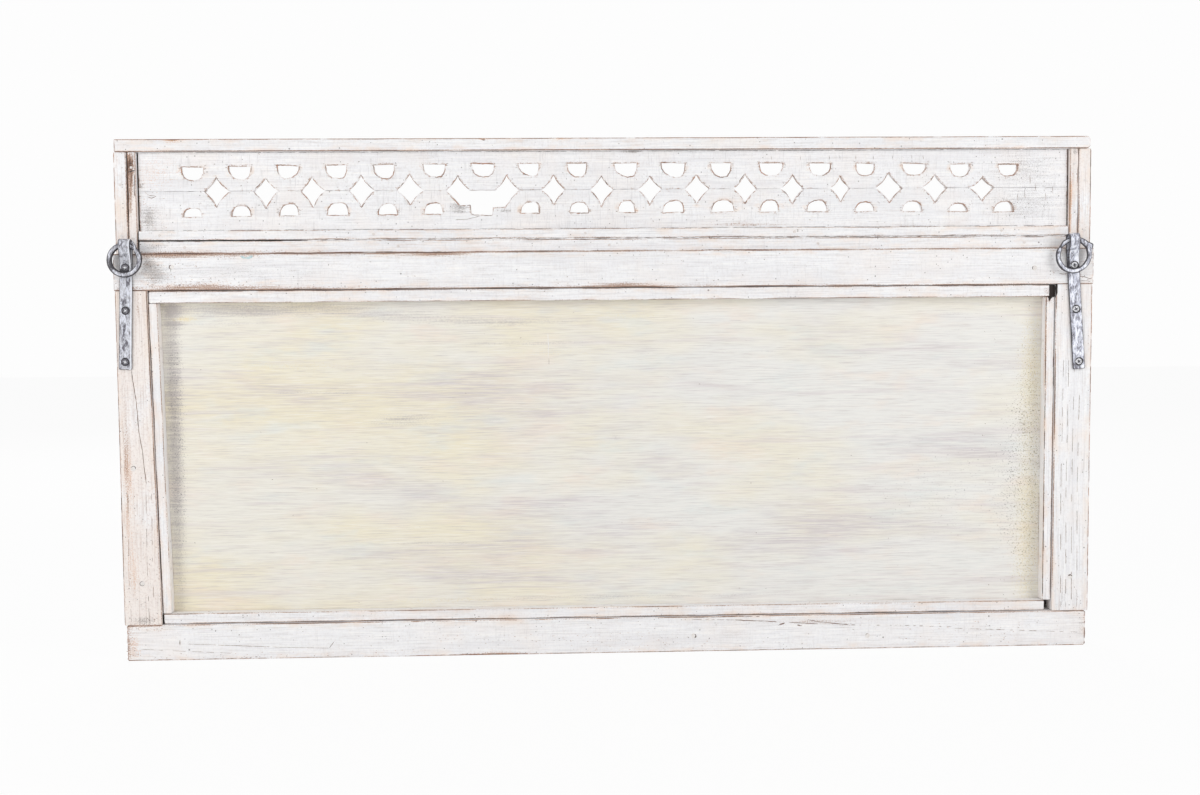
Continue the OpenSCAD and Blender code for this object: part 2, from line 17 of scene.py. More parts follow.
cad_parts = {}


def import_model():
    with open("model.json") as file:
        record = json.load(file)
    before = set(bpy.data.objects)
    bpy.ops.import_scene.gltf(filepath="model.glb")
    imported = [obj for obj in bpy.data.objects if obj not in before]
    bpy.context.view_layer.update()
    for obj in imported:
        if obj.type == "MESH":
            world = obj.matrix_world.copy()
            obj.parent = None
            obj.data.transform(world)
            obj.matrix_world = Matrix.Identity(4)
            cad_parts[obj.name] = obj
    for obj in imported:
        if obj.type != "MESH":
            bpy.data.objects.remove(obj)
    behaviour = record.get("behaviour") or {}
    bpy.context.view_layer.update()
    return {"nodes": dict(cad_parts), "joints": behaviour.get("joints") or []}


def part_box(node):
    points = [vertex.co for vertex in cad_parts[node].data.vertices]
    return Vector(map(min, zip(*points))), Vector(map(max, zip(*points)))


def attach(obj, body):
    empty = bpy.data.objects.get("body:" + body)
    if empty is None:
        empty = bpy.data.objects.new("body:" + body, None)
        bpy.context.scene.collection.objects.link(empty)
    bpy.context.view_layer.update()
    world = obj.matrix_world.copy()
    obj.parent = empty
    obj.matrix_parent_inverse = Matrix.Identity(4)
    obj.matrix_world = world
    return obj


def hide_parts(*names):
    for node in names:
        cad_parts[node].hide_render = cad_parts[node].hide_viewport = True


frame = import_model()

MM = 0.001
TINY = 1e-6
scene = bpy.context.scene


def seeded(name):
    """Random numbers that depend on a name alone."""
    return np.random.default_rng(zlib.crc32(name.encode()))


def span(node):
    """Lowest and highest corner of a CAD node, in millimetres."""
    low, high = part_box(node)
    return np.array(low) / MM, np.array(high) / MM


def srgb(r, g, b):
    """A colour as it is seen, 0 to 255, turned into the linear values that shaders take."""
    def linear(v):
        v = v / 255
        return v / 12.92 if v <= 0.04045 else ((v + 0.055) / 1.055) ** 2.4
    return (linear(r), linear(g), linear(b), 1.0)


class Shader:
    """A node material written as a chain of short calls, which lay colours over its tone."""

    def __init__(self, name, tone):
        self.material = bpy.data.materials.new(name)
        self.material.use_nodes = True
        self.tree = self.material.node_tree
        self.surface = self.tree.nodes["Principled BSDF"]
        self.place = self.tree.nodes.new("ShaderNodeTexCoord").outputs["Object"]
        self.tone = tone

    def add(self, kind, inputs=(), **settings):
        made = self.tree.nodes.new(kind)
        for key, value in settings.items():
            setattr(made, key, value)
        for key, value in dict(inputs).items():
            self.put(made.inputs[key], value)
        return made

    def put(self, socket, value):
        if isinstance(value, bpy.types.NodeSocket):
            self.tree.links.new(value, socket)
        else:
            socket.default_value = value

    def math(self, operation, a, b):
        return self.add("ShaderNodeMath", {0: a, 1: b}, operation=operation).outputs["Value"]

    def plus(self, a, b):
        return self.math("ADD", a, b)

    def times(self, a, b):
        return self.math("MULTIPLY", a, b)

    def less(self, a, b):
        return self.math("SUBTRACT", a, b)

    def stretched(self, scale, shift=(0, 0, 0)):
        """Object coordinates, scaled along each axis."""
        made = self.add("ShaderNodeMapping", {"Vector": self.place, "Scale": scale, "Location": shift})
        return made.outputs["Vector"]

    def noise(self, vector, scale, detail, rough, distortion=0.0):
        """Noise from 0 to 1 with features of about 1 / scale metres."""
        made = self.add("ShaderNodeTexNoise", {"Vector": vector, "Scale": scale, "Detail": detail,
                                               "Roughness": rough, "Distortion": distortion})
        return made.outputs["Fac"]

    def step(self, value, low, high, to_low=0.0, to_high=1.0):
        """Goes smoothly from to_low to to_high as the value goes from low to high."""
        made = self.add("ShaderNodeMapRange", {"Value": value, "From Min": low, "From Max": high,
                                               "To Min": to_low, "To Max": to_high},
                        interpolation_type="SMOOTHSTEP")
        return made.outputs["Result"]

    def dots(self, vector, scale, radius, share):
        """Small ragged dots: about one cell of 1 / scale metres in every 1 / share has one."""
        made = self.add("ShaderNodeTexVoronoi", {"Vector": vector, "Scale": scale})
        chance = self.add("ShaderNodeSeparateColor", {"Color": made.outputs["Color"]}).outputs["Red"]
        size = self.times(chance, radius)
        here = self.step(made.outputs["Distance"], size, self.times(size, 0.55))
        rare = self.step(self.plus(chance, share), 0.99, 1.0)
        return self.times(here, rare)

    def mark(self, name):
        """A value painted on the points of the mesh."""
        return self.add("ShaderNodeAttribute", attribute_name=name).outputs["Fac"]

    def cover(self, share, colour):
        """Lays a colour over the tone, as far as the share says."""
        made = self.add("ShaderNodeMix", data_type="RGBA", blend_type="MIX")
        self.put(made.inputs["Factor"], share)
        self.put(made.inputs[6], self.tone)
        self.put(made.inputs[7], colour)
        self.tone = made.outputs[2]

    def coat(self, source, low, high, most, colour):
        """Lays a colour over the tone, more and more as the source goes from low to high."""
        self.cover(self.step(source, low, high, 0, most), colour)

    def stain(self, mark, ragged, low, high, most, colour):
        """Lays a colour where the mesh has a mark, with a ragged edge."""
        here = self.step(self.plus(self.mark(mark), ragged), low, high)
        self.cover(self.times(here, most), colour)
        return here

    def bump(self, height, depth_mm, strength):
        made = self.add("ShaderNodeBump", {"Height": height, "Distance": depth_mm * MM,
                                           "Strength": strength})
        self.put(self.surface.inputs["Normal"], made.outputs["Normal"])

    def finish(self, roughness, metallic=0.0):
        self.put(self.surface.inputs["Base Color"], self.tone)
        self.put(self.surface.inputs["Roughness"], roughness)
        self.put(self.surface.inputs["Metallic"], metallic)
        return self.material


PAINT = srgb(243, 243, 245)
PAINT_LIGHT = srgb(254, 253, 252)
PAINT_COOL = srgb(226, 225, 228)
PAINT_GREY = srgb(202, 199, 200)
PAINT_DUSTY = srgb(214, 206, 200)
PAINT_WARM = srgb(243, 232, 224)
PAINT_ORANGE = srgb(240, 220, 204)
WOOD_DARK = srgb(84, 64, 56)
WOOD_BROWN = srgb(172, 134, 110)
WOOD_RAW = srgb(220, 172, 136)
GRIME = srgb(150, 143, 140)
SPECK = srgb(92, 80, 76)


def along(axis, value):
    """Scale that stretches a texture along the grain."""
    return tuple(1 / value if name == axis else 1.0 for name in "xyz")


def whitewash(name, axis, warmth, worn, sawn, shift=0.0, speckled=0.0, steady=0.0, grain=1.0, dusty=0.0):
    """White paint rubbed back to the wood, with its grain along an axis."""
    s = Shader(name, PAINT)
    move = (shift, shift * 0.7, shift * 0.3)
    across = "z" if axis == "x" else "x"

    def drawn(way, stretch, *noise):
        """Noise drawn out along one axis."""
        return s.noise(s.stretched(along(way, stretch), move), *noise)

    even = s.stretched((1, 1, 1), move)
    fine = drawn(axis, 34, 860, 3, 0.55)
    streak = drawn(axis, 26, 300, 5, 0.65, 0.4)
    band = drawn(axis, 14, 75, 3, 0.5)
    cross = drawn(across, 13, 800, 3, 0.55)
    cross_here = s.step(s.noise(even, 26, 3, 0.6), 0.36, 0.62, 0.25, 1.0)
    mottle = s.noise(even, 430, 4, 0.7)
    cloud = s.noise(even, 17, 3, 0.6)
    tint = drawn(axis, 3, 90, 4, 0.65)
    patch = drawn(axis, 3, 55, 4, 0.6)
    grit = s.noise(even, 820, 3, 0.6)
    near = s.mark("near")

    s.coat(fine, 0.5, 0.7, 0.46 * grain, PAINT_GREY)
    s.coat(fine, 0.49, 0.33, 0.75, PAINT_LIGHT)
    s.coat(mottle, 0.5, 0.72, 0.34, PAINT_DUSTY)
    s.coat(mottle, 0.48, 0.32, 0.5, PAINT_LIGHT)
    s.coat(band, 0.45, 0.75, 0.4, PAINT_COOL)
    s.cover(s.times(s.step(cloud, 0.42 - steady, 0.72 - steady), warmth), PAINT_WARM)
    s.coat(mottle, 0.5, 0.7, dusty, srgb(210, 192, 184))
    s.coat(fine, 0.5, 0.68, dusty * 0.8, srgb(214, 198, 190))
    s.cover(s.times(s.step(tint, 0.44, 0.7), s.step(near, 0.3, 1.0, 0.0, 0.6)), PAINT_ORANGE)
    s.cover(s.times(s.step(cross, 0.53, 0.7, 0, sawn), cross_here), PAINT_GREY)

    rubbed = s.step(patch, 0.5, 0.72)
    for low, high, most, wood in ((0.6, 0.7, 0.7, WOOD_BROWN), (0.7, 0.76, 0.6, WOOD_DARK)):
        lines = s.times(s.step(streak, low, high), rubbed)
        s.cover(s.times(lines, most * worn), wood)

    ragged = s.less(s.plus(s.times(fine, 0.8), s.times(grit, 1.5)), 1.15)
    s.stain("bare", ragged, 0.25, 0.8, 0.85, WOOD_RAW)
    s.stain("grime", ragged, 0.3, 0.9, 0.75, GRIME)
    wear = s.stain("wear", ragged, 0.3, 0.75, 0.88, WOOD_BROWN)
    s.stain("wear", ragged, 0.72, 1.15, 0.85, WOOD_DARK)
    share = s.plus(s.step(near, 0.2, 1.0, 0.07 + speckled, 0.3 + speckled),
                   s.step(s.mark("grime"), 0, 1, 0, 0.5))
    small = s.dots(even, 230, 0.19, share)
    large = s.dots(s.stretched((1, 1, 1), (shift + 2, 1, 3)), 90, 0.11, s.times(share, 0.5))
    s.cover(s.times(s.math("MAXIMUM", small, large), 0.72), SPECK)

    height = s.less(s.plus(s.times(fine, 0.6), s.times(mottle, 0.4)), s.times(wear, 0.5))
    s.bump(height, 0.45, 0.7)
    return s.finish(s.step(fine, 0.3, 0.8, 0.62, 0.85))


white_x = whitewash("whitewash_along_x", "x", 0.3, 0.5, 0.22)
white_z = whitewash("whitewash_along_z", "z", 0.7, 0.7, 0.12, 0.31)
warm_z = whitewash("whitewash_warm_stile", "z", 0.7, 1.0, 0.25, 0.77, 0.02, steady=0.2, dusty=0.5)
white_fret = whitewash("whitewash_fretwork", "x", 0.3, 0.3, 0.42, 0.17, 0.04, grain=0.7)
cream_z = whitewash("whitewash_edge_boards", "z", 0.85, 0.7, 0.2, 0.53, dusty=0.25)


def plywood():
    """Thin panel with long violet grey streaks, yellower towards +X."""
    s = Shader("plywood_panel", srgb(235, 234, 230))

    def drawn(squeeze, shift, *noise):
        """Noise drawn out along X."""
        return s.noise(s.stretched((squeeze, 1, 1), shift), *noise)

    still = (0, 0, 0)
    x = s.add("ShaderNodeSeparateXYZ", {"Vector": s.place}).outputs["X"]
    long_streak = drawn(0.05, still, 120, 5, 0.62, 0.2)
    wide_streak = drawn(0.2, (0.3, 0, 0.2), 17, 4, 0.6, 0.4)
    line = drawn(0.03, (0.2, 0, 0.4), 560, 4, 0.72, 0.1)
    fibre = drawn(0.03, still, 1100, 3, 0.65)
    ticks = drawn(0.05, (0.1, 0, 0.7), 480, 4, 0.6, 0.2)
    block = drawn(0.35, (0.6, 0, 0.1), 26, 4, 0.6)
    cloud = drawn(0.4, still, 9, 4, 0.55)
    grit = s.noise(s.place, 700, 3, 0.65)
    yellow = s.plus(s.step(x, -0.45, 0.5, 0.05, 0.7), s.step(cloud, 0.35, 0.65, -0.4, 0.45))
    s.cover(s.math("MAXIMUM", yellow, 0.0), srgb(238, 230, 206))
    s.coat(block, 0.52, 0.72, 0.5, srgb(240, 224, 210))
    s.coat(block, 0.46, 0.3, 0.5, srgb(225, 230, 228))
    s.coat(long_streak, 0.52, 0.74, 0.5, srgb(216, 207, 208))
    violet = s.times(s.step(wide_streak, 0.48, 0.72, 0, 0.75), s.step(line, 0.4, 0.62, 0.25, 1.0))
    s.cover(violet, srgb(205, 196, 200))
    s.coat(line, 0.56, 0.7, 0.33, srgb(208, 199, 198))
    s.coat(line, 0.44, 0.3, 0.33, srgb(246, 243, 236))
    s.coat(fibre, 0.5, 0.72, 0.5, srgb(200, 192, 189))
    s.coat(fibre, 0.48, 0.32, 0.48, srgb(249, 246, 240))
    s.coat(ticks, 0.66, 0.75, 0.5, srgb(178, 166, 166))
    ragged = s.less(s.times(grit, 1.1), 0.55)
    streaked = s.plus(s.times(ragged, 0.7), s.less(line, 0.5))
    s.stain("grime", streaked, 0.25, 0.9, 0.7, srgb(162, 154, 157))
    s.stain("bare", ragged, 0.25, 0.8, 0.6, srgb(234, 212, 138))
    speck = s.step(s.plus(grit, s.step(s.mark("wear"), 0.0, 1.0, 0.0, 0.15)), 0.735, 0.775)
    s.cover(s.times(speck, 0.7), srgb(96, 86, 88))
    s.bump(s.plus(fibre, long_streak), 0.25, 0.6)
    return s.finish(s.step(fibre, 0.3, 0.8, 0.5, 0.7))


def forged_iron(name, light, shift):
    """Hand-forged iron with rubbed white paint in its hollows, streaked along Z, with painted shade and
    painted highlight where its mesh is marked.
    """
    lift, warm, cool = (round(light * most) for most in (150, 120, 220))
    s = Shader(name, srgb(98 + lift, 95 + lift, 104 + lift))
    place = s.stretched((1, 1, 0.34), (shift, shift, shift))
    blotch = s.noise(place, 250, 5, 0.62, 0.8)
    mottle = s.noise(place, 900, 4, 0.7)
    cells = s.noise(place, 500, 3, 0.6, 1.2)
    s.cover(s.step(blotch, 0.38, 0.6), srgb(198 + warm, 199 + lift, 206 + cool))
    s.coat(mottle, 0.5, 0.7, 0.8, srgb(70, 66, 74))
    s.coat(cells, 0.48, 0.6, 0.8, srgb(222, 225, 236))
    white = s.step(s.plus(blotch, s.times(mottle, 0.3)), 0.8 - light, 0.88 - light)
    s.cover(s.times(white, 0.85), srgb(243, 244, 249))
    ragged = s.less(mottle, 0.5)
    # near: a painted highlight along the bevelled edge of a strap
    s.stain("near", ragged, 0.35, 0.7, 0.85, srgb(238, 240, 246))
    # wear: worn dark edges, fold and end on the straps, and painted shade along the sides of the ring bars
    # and the spur
    s.stain("wear", ragged, 0.35, 0.7, 0.9, srgb(48, 43, 47))
    s.stain("bare", ragged, 0.4, 0.8, 0.85, srgb(96, 68, 56))
    s.bump(s.plus(blotch, s.times(mottle, 0.4)), 0.45, 0.9)
    return s.finish(s.step(mottle, 0.3, 0.8, 0.42, 0.68), metallic=0.2)


def small_metal(name, base, dark, metallic):
    """Mottled metal of a screw, pin or nail."""
    s = Shader(name, base)
    mottle = s.noise(s.place, 900, 4, 0.7)
    s.cover(s.step(mottle, 0.42, 0.72), dark)
    s.bump(mottle, 0.08, 0.6)
    return s.finish(s.step(mottle, 0.3, 0.8, 0.32, 0.6), metallic=metallic)


def peg_wood():
    """End grain of a round peg under thin paint."""
    s = Shader("peg_end_grain", srgb(232, 227, 223))
    pores = s.noise(s.place, 1500, 4, 0.7)
    cloud = s.noise(s.place, 260, 3, 0.6)
    s.coat(pores, 0.4, 0.7, 0.6, srgb(188, 178, 171))
    s.coat(cloud, 0.35, 0.6, 0.75, srgb(241, 238, 236))
    s.bump(pores, 0.15, 0.7)
    return s.finish(0.75)


def mirror_silver():
    """Silvered glass with a few small age spots."""
    s = Shader("mirror_silver", srgb(238, 242, 242))
    spots = s.noise(s.place, 160, 5, 0.7)
    cloud = s.noise(s.place, 9, 3, 0.6)
    s.coat(spots, 0.68, 0.74, 0.5, srgb(120, 112, 104))
    return s.finish(s.step(cloud, 0.3, 0.8, 0.015, 0.06), metallic=1.0)


def raw_wood(name, light, dark):
    """Bare wood without paint, with its grain along Z, also used as painted shade in gaps and round pegs."""
    s = Shader(name, light)
    fibre = s.noise(s.stretched((1, 1, 0.06)), 800, 4, 0.65)
    s.cover(s.step(fibre, 0.35, 0.7), dark)
    s.bump(fibre, 0.3, 0.7)
    return s.finish(0.85)


ply = plywood()
iron_right = forged_iron("forged_iron_right", 0.0, 0.1)
iron_left = forged_iron("forged_iron_left", 0.14, 0.4)
screw_dark = small_metal("screw_steel_dark", srgb(118, 116, 124), srgb(58, 54, 60), 0.2)
screw_bright = small_metal("screw_steel_bright", srgb(246, 247, 250), srgb(206, 206, 212), 0.1)
recess_steel = small_metal("recess_steel", srgb(46, 43, 48), srgb(22, 20, 24), 0.1)
pin_steel = small_metal("painted_pin_steel", srgb(234, 229, 226), srgb(196, 184, 176), 0.0)
peg_end = peg_wood()
silver = mirror_silver()
crack_wood = raw_wood("crack_shadow_wood", srgb(138, 104, 84), srgb(74, 56, 48))
# near black, laid in gaps and holes as painted shade
shade_in_gaps = raw_wood("unlit_gap_wood", srgb(44, 34, 30), srgb(18, 14, 13))
edge_wood = raw_wood("sawn_edge_wood", srgb(190, 142, 116), srgb(92, 68, 58))
peg_shadow = raw_wood("peg_shadow_wood", srgb(96, 82, 78), srgb(48, 40, 38))
grain_wood = raw_wood("rubbed_grain_wood", srgb(196, 158, 136), srgb(128, 92, 74))
old_paint = raw_wood("old_paint_chip", srgb(206, 224, 227), srgb(168, 190, 196))


MARKS = ("wear", "grime", "bare", "near")


def make(name, points, faces, material, replaces=(), body="frame", marks=None, sharp=40):
    """Makes a piece from points in millimetres. marks gives a value at each point for each kind."""
    mesh = bpy.data.meshes.new(name)
    mesh.from_pydata((np.asarray(points) * MM).tolist(), [], faces)
    mesh.materials.append(material)
    for kind in MARKS:
        values = (marks or {}).get(kind)
        layer = mesh.attributes.new(kind, "FLOAT", "POINT")
        if values is not None:
            layer.data.foreach_set("value", np.asarray(values, np.float32).ravel())
    mesh.shade_smooth()
    mesh.set_sharp_from_angle(angle=math.radians(sharp))
    mesh.validate()
    piece = bpy.data.objects.new(name, mesh)
    scene.collection.objects.link(piece)
    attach(piece, body)
    if replaces:
        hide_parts(*replaces)
    return piece


def smooth_field(rng, u, v, cell_u, cell_v):
    """Smooth noise from -1 to 1 at every pair of the places u and v."""
    def cells(w, cell):
        t = (np.asarray(w) - np.min(w)) / cell
        i = np.floor(t).astype(int)
        f = t - i
        return i, f * f * (3 - 2 * f)
    iu, fu = cells(u, cell_u)
    iv, fv = cells(v, cell_v)
    grid = rng.uniform(-1, 1, (iu.max() + 2, iv.max() + 2))
    low = grid[np.ix_(iu, iv)] * (1 - fv) + grid[np.ix_(iu, iv + 1)] * fv
    high = grid[np.ix_(iu + 1, iv)] * (1 - fv) + grid[np.ix_(iu + 1, iv + 1)] * fv
    return low * (1 - fu[:, None]) + high * fu[:, None]


def smooth_line(rng, u, cell):
    """Smooth noise from -1 to 1 at every place u."""
    return smooth_field(rng, u, [0.0], cell, 1.0)[:, 0]


def tube_faces(rows, count, flip=False, capped=False):
    """Quads between rows of points, each row a closed ring."""
    faces = []
    for i in range(rows - 1):
        for k in range(count):
            m = (k + 1) % count
            quad = (i * count + k, i * count + m, (i + 1) * count + m, (i + 1) * count + k)
            faces.append(quad[::-1] if flip else quad)
    if capped:
        faces.append(tuple(range(count))[::-1])
        faces.append(tuple(range((rows - 1) * count, rows * count)))
    return faces


def face_outwards(piece):
    """Turns the faces of closed slivers outwards."""
    shape = bmesh.new()
    shape.from_mesh(piece.data)
    bmesh.ops.recalc_face_normals(shape, faces=shape.faces)
    shape.to_mesh(piece.data)
    shape.free()


SHOULDER = 0.55
FACE_STEP = 6.0
ALONG_STEP = 3.6
END_ROUND = 1.0
ARRIS = 0.85
STRIP_ARRIS = 0.65
SIGHT_ROUND = 7.0
NEAR_REACH = 13.0
FINE_CORNER = 3


def section(b0, b1, c0, c1, radii):
    """Closed outline of a board's section: points, outward normals, corner, its share and nearness."""
    centres = [(b0, c0, 1, 1), (b1, c0, -1, 1), (b1, c1, -1, -1), (b0, c1, 1, -1)]
    starts = [180, 270, 0, 90]
    points, normals, corner, share, near = [], [], [], [], []

    def put(p, n, k, w, d):
        points.append(p)
        normals.append(n)
        corner.append(k)
        share.append(w)
        near.append(max(0.0, 1 - d / NEAR_REACH))
    arcs = []
    for (b, c, sb, sc), start, r in zip(centres, starts, radii):
        count = 4 if r < FINE_CORNER else 9
        turn = [math.radians(start + 90 * i / count) for i in range(count + 1)]
        arcs.append([(b + sb * r + r * math.cos(t), c + sc * r + r * math.sin(t),
                      math.cos(t), math.sin(t)) for t in turn])
    for k in range(4):
        for pb, pc, nb, nc in arcs[k]:
            put((pb, pc), (nb, nc), k, 1.0, 0.0)
        pb, pc, nb, nc = arcs[k][-1]
        qb, qc = arcs[(k + 1) % 4][0][:2]
        length = math.hypot(qb - pb, qc - pc)
        tb, tc = (qb - pb) / length, (qc - pc) / length
        shoulder = min(SHOULDER, length / 5)
        inner = max(2, round((length - 2 * shoulder) / FACE_STEP))
        steps = [0.0, 0.25] + [i for i in range(1, inner)] + [inner - 0.25, inner]
        for i in steps:
            d = shoulder + (length - 2 * shoulder) * i / inner
            nearer = k if i < inner / 2 else (k + 1) % 4
            put((pb + tb * d, pc + tc * d), (nb, nc), nearer, 0.12 if i in (0, inner) else 0.0,
                min(d, length - d))
    return np.array(points), np.array(normals), np.array(corner), np.array(share), np.array(near)


def stations(a0, a1, round_end):
    """Places along a board and how far its section is drawn in there, so that its ends are rounded."""
    turns = [0.0, 0.4, 0.8, 1.2, math.pi / 2]
    head = [a0 + round_end[0] * (1 - math.cos(t)) for t in turns]
    tail = [a1 - round_end[1] * (1 - math.cos(t)) for t in turns][::-1]
    count = max(3, round((a1 - a0) / ALONG_STEP))
    middle = np.linspace(head[-1], tail[0], count + 1)[1:-1]
    inset_head = [round_end[0] * (1 - math.sin(t)) for t in turns]
    inset_tail = [round_end[1] * (1 - math.sin(t)) for t in turns][::-1]
    return np.concatenate([head, middle, tail]), np.concatenate([inset_head, 0 * middle, inset_tail])


PATCH_TURN = 5.0
CHIP_DEPTH = 0.5
END_INSET = 0.86
END_MARKS = {"wear": 0.12, "near": 1.0}


def board(node, axis, material, radii=(ARRIS,) * 4, wear=(0.3,) * 4, ends=(END_ROUND, END_ROUND),
          bend=None, box=None, chip=1.0, rough=0.12):
    """A worn board along an axis, made inside its CAD node and standing for it.

    radii and wear follow the corners of the section, from front and low to back and low,
    back and high, front and high.
    """
    rng = seeded(node)
    low, high = box if box is not None else span(node)
    across = 2 if axis == "x" else 0
    a0, a1 = (low[0], high[0]) if axis == "x" else (low[2], high[2])
    b0, b1, c0, c1 = low[1], high[1], low[across], high[across]
    points, normals, corner, share, near = section(b0, b1, c0, c1, radii)
    places, insets = stations(a0, a1, ends)
    rows, count = len(places), len(points)
    round_about = np.cumsum(np.r_[0, np.hypot(*np.diff(points, axis=0).T)])

    chips = np.stack([np.clip(smooth_line(rng, places, 11) - 0.35, 0, 1) * 1.1
                      + np.clip(smooth_line(rng, places, 37) - 0.3, 0, 1) * 0.9 for _ in range(4)], 1)
    worn = np.stack([smooth_line(rng, places, 24) * 0.28 + smooth_line(rng, places, 90) * 0.25
                     for _ in range(4)], 1) + np.array(wear)
    depth = np.abs(smooth_field(rng, places, round_about, 45, 9)) * rough
    depth = depth + share * (chips[:, corner] * CHIP_DEPTH * chip + 0.05)
    b = points[:, 0] - normals[:, 0] * depth
    c = points[:, 1] - normals[:, 1] * depth
    bm, cm = (b0 + b1) / 2, (c0 + c1) / 2
    b = bm + (b - bm) * (1 - np.minimum(insets, 1.2) / (b1 - b0) * 2)[:, None]
    c = cm + (c - cm) * (1 - insets / (c1 - c0) * 2)[:, None]
    a = np.repeat(places[:, None], count, 1)
    marks = {"wear": share * np.clip(worn[:, corner] + chips[:, corner] * 0.6 * chip, 0, 1.15),
             "grime": np.zeros((rows, count)), "bare": np.zeros((rows, count))}
    from_end = np.minimum(places - a0, a1 - places)
    marks["near"] = np.maximum(near[None, :], np.clip(1 - from_end / NEAR_REACH, 0, 1)[:, None])
    end_wear = np.clip(insets, 0, 1)[:, None] * 0.5
    marks["wear"] = np.maximum(marks["wear"], end_wear * (share > 0.5))
    back_only = (normals[:, 0] > -0.3) * np.exp(-np.maximum(b1 - b, 0) / PATCH_TURN)
    for kind, pa, pc, ra, rc, strength in PATCHES.get(node, ()):
        blob = np.exp(-((a - pa) / ra) ** 2 - ((c - pc) / rc) ** 2)
        marks[kind] = marks[kind] + strength * blob * back_only
    a, b, c = (v.ravel() for v in (a, b, c))
    xyz = np.stack([a, b, c] if axis == "x" else [c, b, a], 1)
    faces = tube_faces(rows, count, flip=axis != "x")
    values = {kind: list(v.ravel()) for kind, v in marks.items()}
    extra = []
    for row, turn in ((0, 1), (rows - 1, -1)):
        ring = list(range(row * count, (row + 1) * count))
        middle = xyz[ring].mean(0)
        first = len(xyz) + len(extra)
        extra += list(middle + (xyz[ring] - middle) * END_INSET)
        inner = list(range(first, first + count))
        for kind in values:
            values[kind] += [END_MARKS.get(kind, 0.0)] * count
        flip = (turn > 0) == (axis == "x")
        for k in range(count):
            m = (k + 1) % count
            quad = (ring[k], ring[m], inner[m], inner[k])
            faces.append(quad[::-1] if flip else quad)
        faces.append(tuple(inner[::-1]) if flip else tuple(inner))
    xyz = np.concatenate([xyz, np.array(extra)])
    if bend:
        xyz = bend(xyz)
    make(node.replace("_", "-") + "-worn", xyz, faces, material, (node,), marks=values)


STILE_TAPER = 7.0
SIDE_BEAD = 9.8
SCRIBE_REACH = 40


def taper_stile(xyz):
    """The right back stile is narrower at its top: its inner edge leans away."""
    low, high = span("back_stile_right")
    inward = (high[0] - xyz[:, 0]) / (high[0] - low[0])
    up = (xyz[:, 2] - low[2]) / (high[2] - low[2])
    xyz[:, 0] += STILE_TAPER * inward * up
    return xyz


def lean_bead(xyz):
    """The right bead follows its stile."""
    low, high = span("bead_right")
    xyz[:, 0] += (high[0] - low[0] - SIDE_BEAD) * (xyz[:, 2] - low[2]) / (high[2] - low[2])
    return xyz


def scribe_rail(xyz):
    """The ends of a front rail fit over the rounded edges of the stiles."""
    low, high = span("front_stile_right")
    reach = span("front_transom")[1][0]
    start = reach - SCRIBE_REACH
    y = xyz[:, 1] - low[1]
    round_y = np.clip(SIGHT_ROUND - y, 0, SIGHT_ROUND)
    end = low[0] + SIGHT_ROUND - np.sqrt(SIGHT_ROUND ** 2 - round_y ** 2)
    end = np.minimum(end, reach) - 0.05
    x = np.abs(xyz[:, 0])
    moved = start + (x - start) * (end - start) / (reach - start)
    xyz[:, 0] = np.sign(xyz[:, 0]) * np.where(x > start, moved, x)
    return xyz


PLAIN = (ARRIS,) * 4
SIGHT_HIGH = (ARRIS, ARRIS, ARRIS, SIGHT_ROUND)
SIGHT_LOW = (SIGHT_ROUND, ARRIS, ARRIS, ARRIS)
STRIP = (STRIP_ARRIS,) * 4
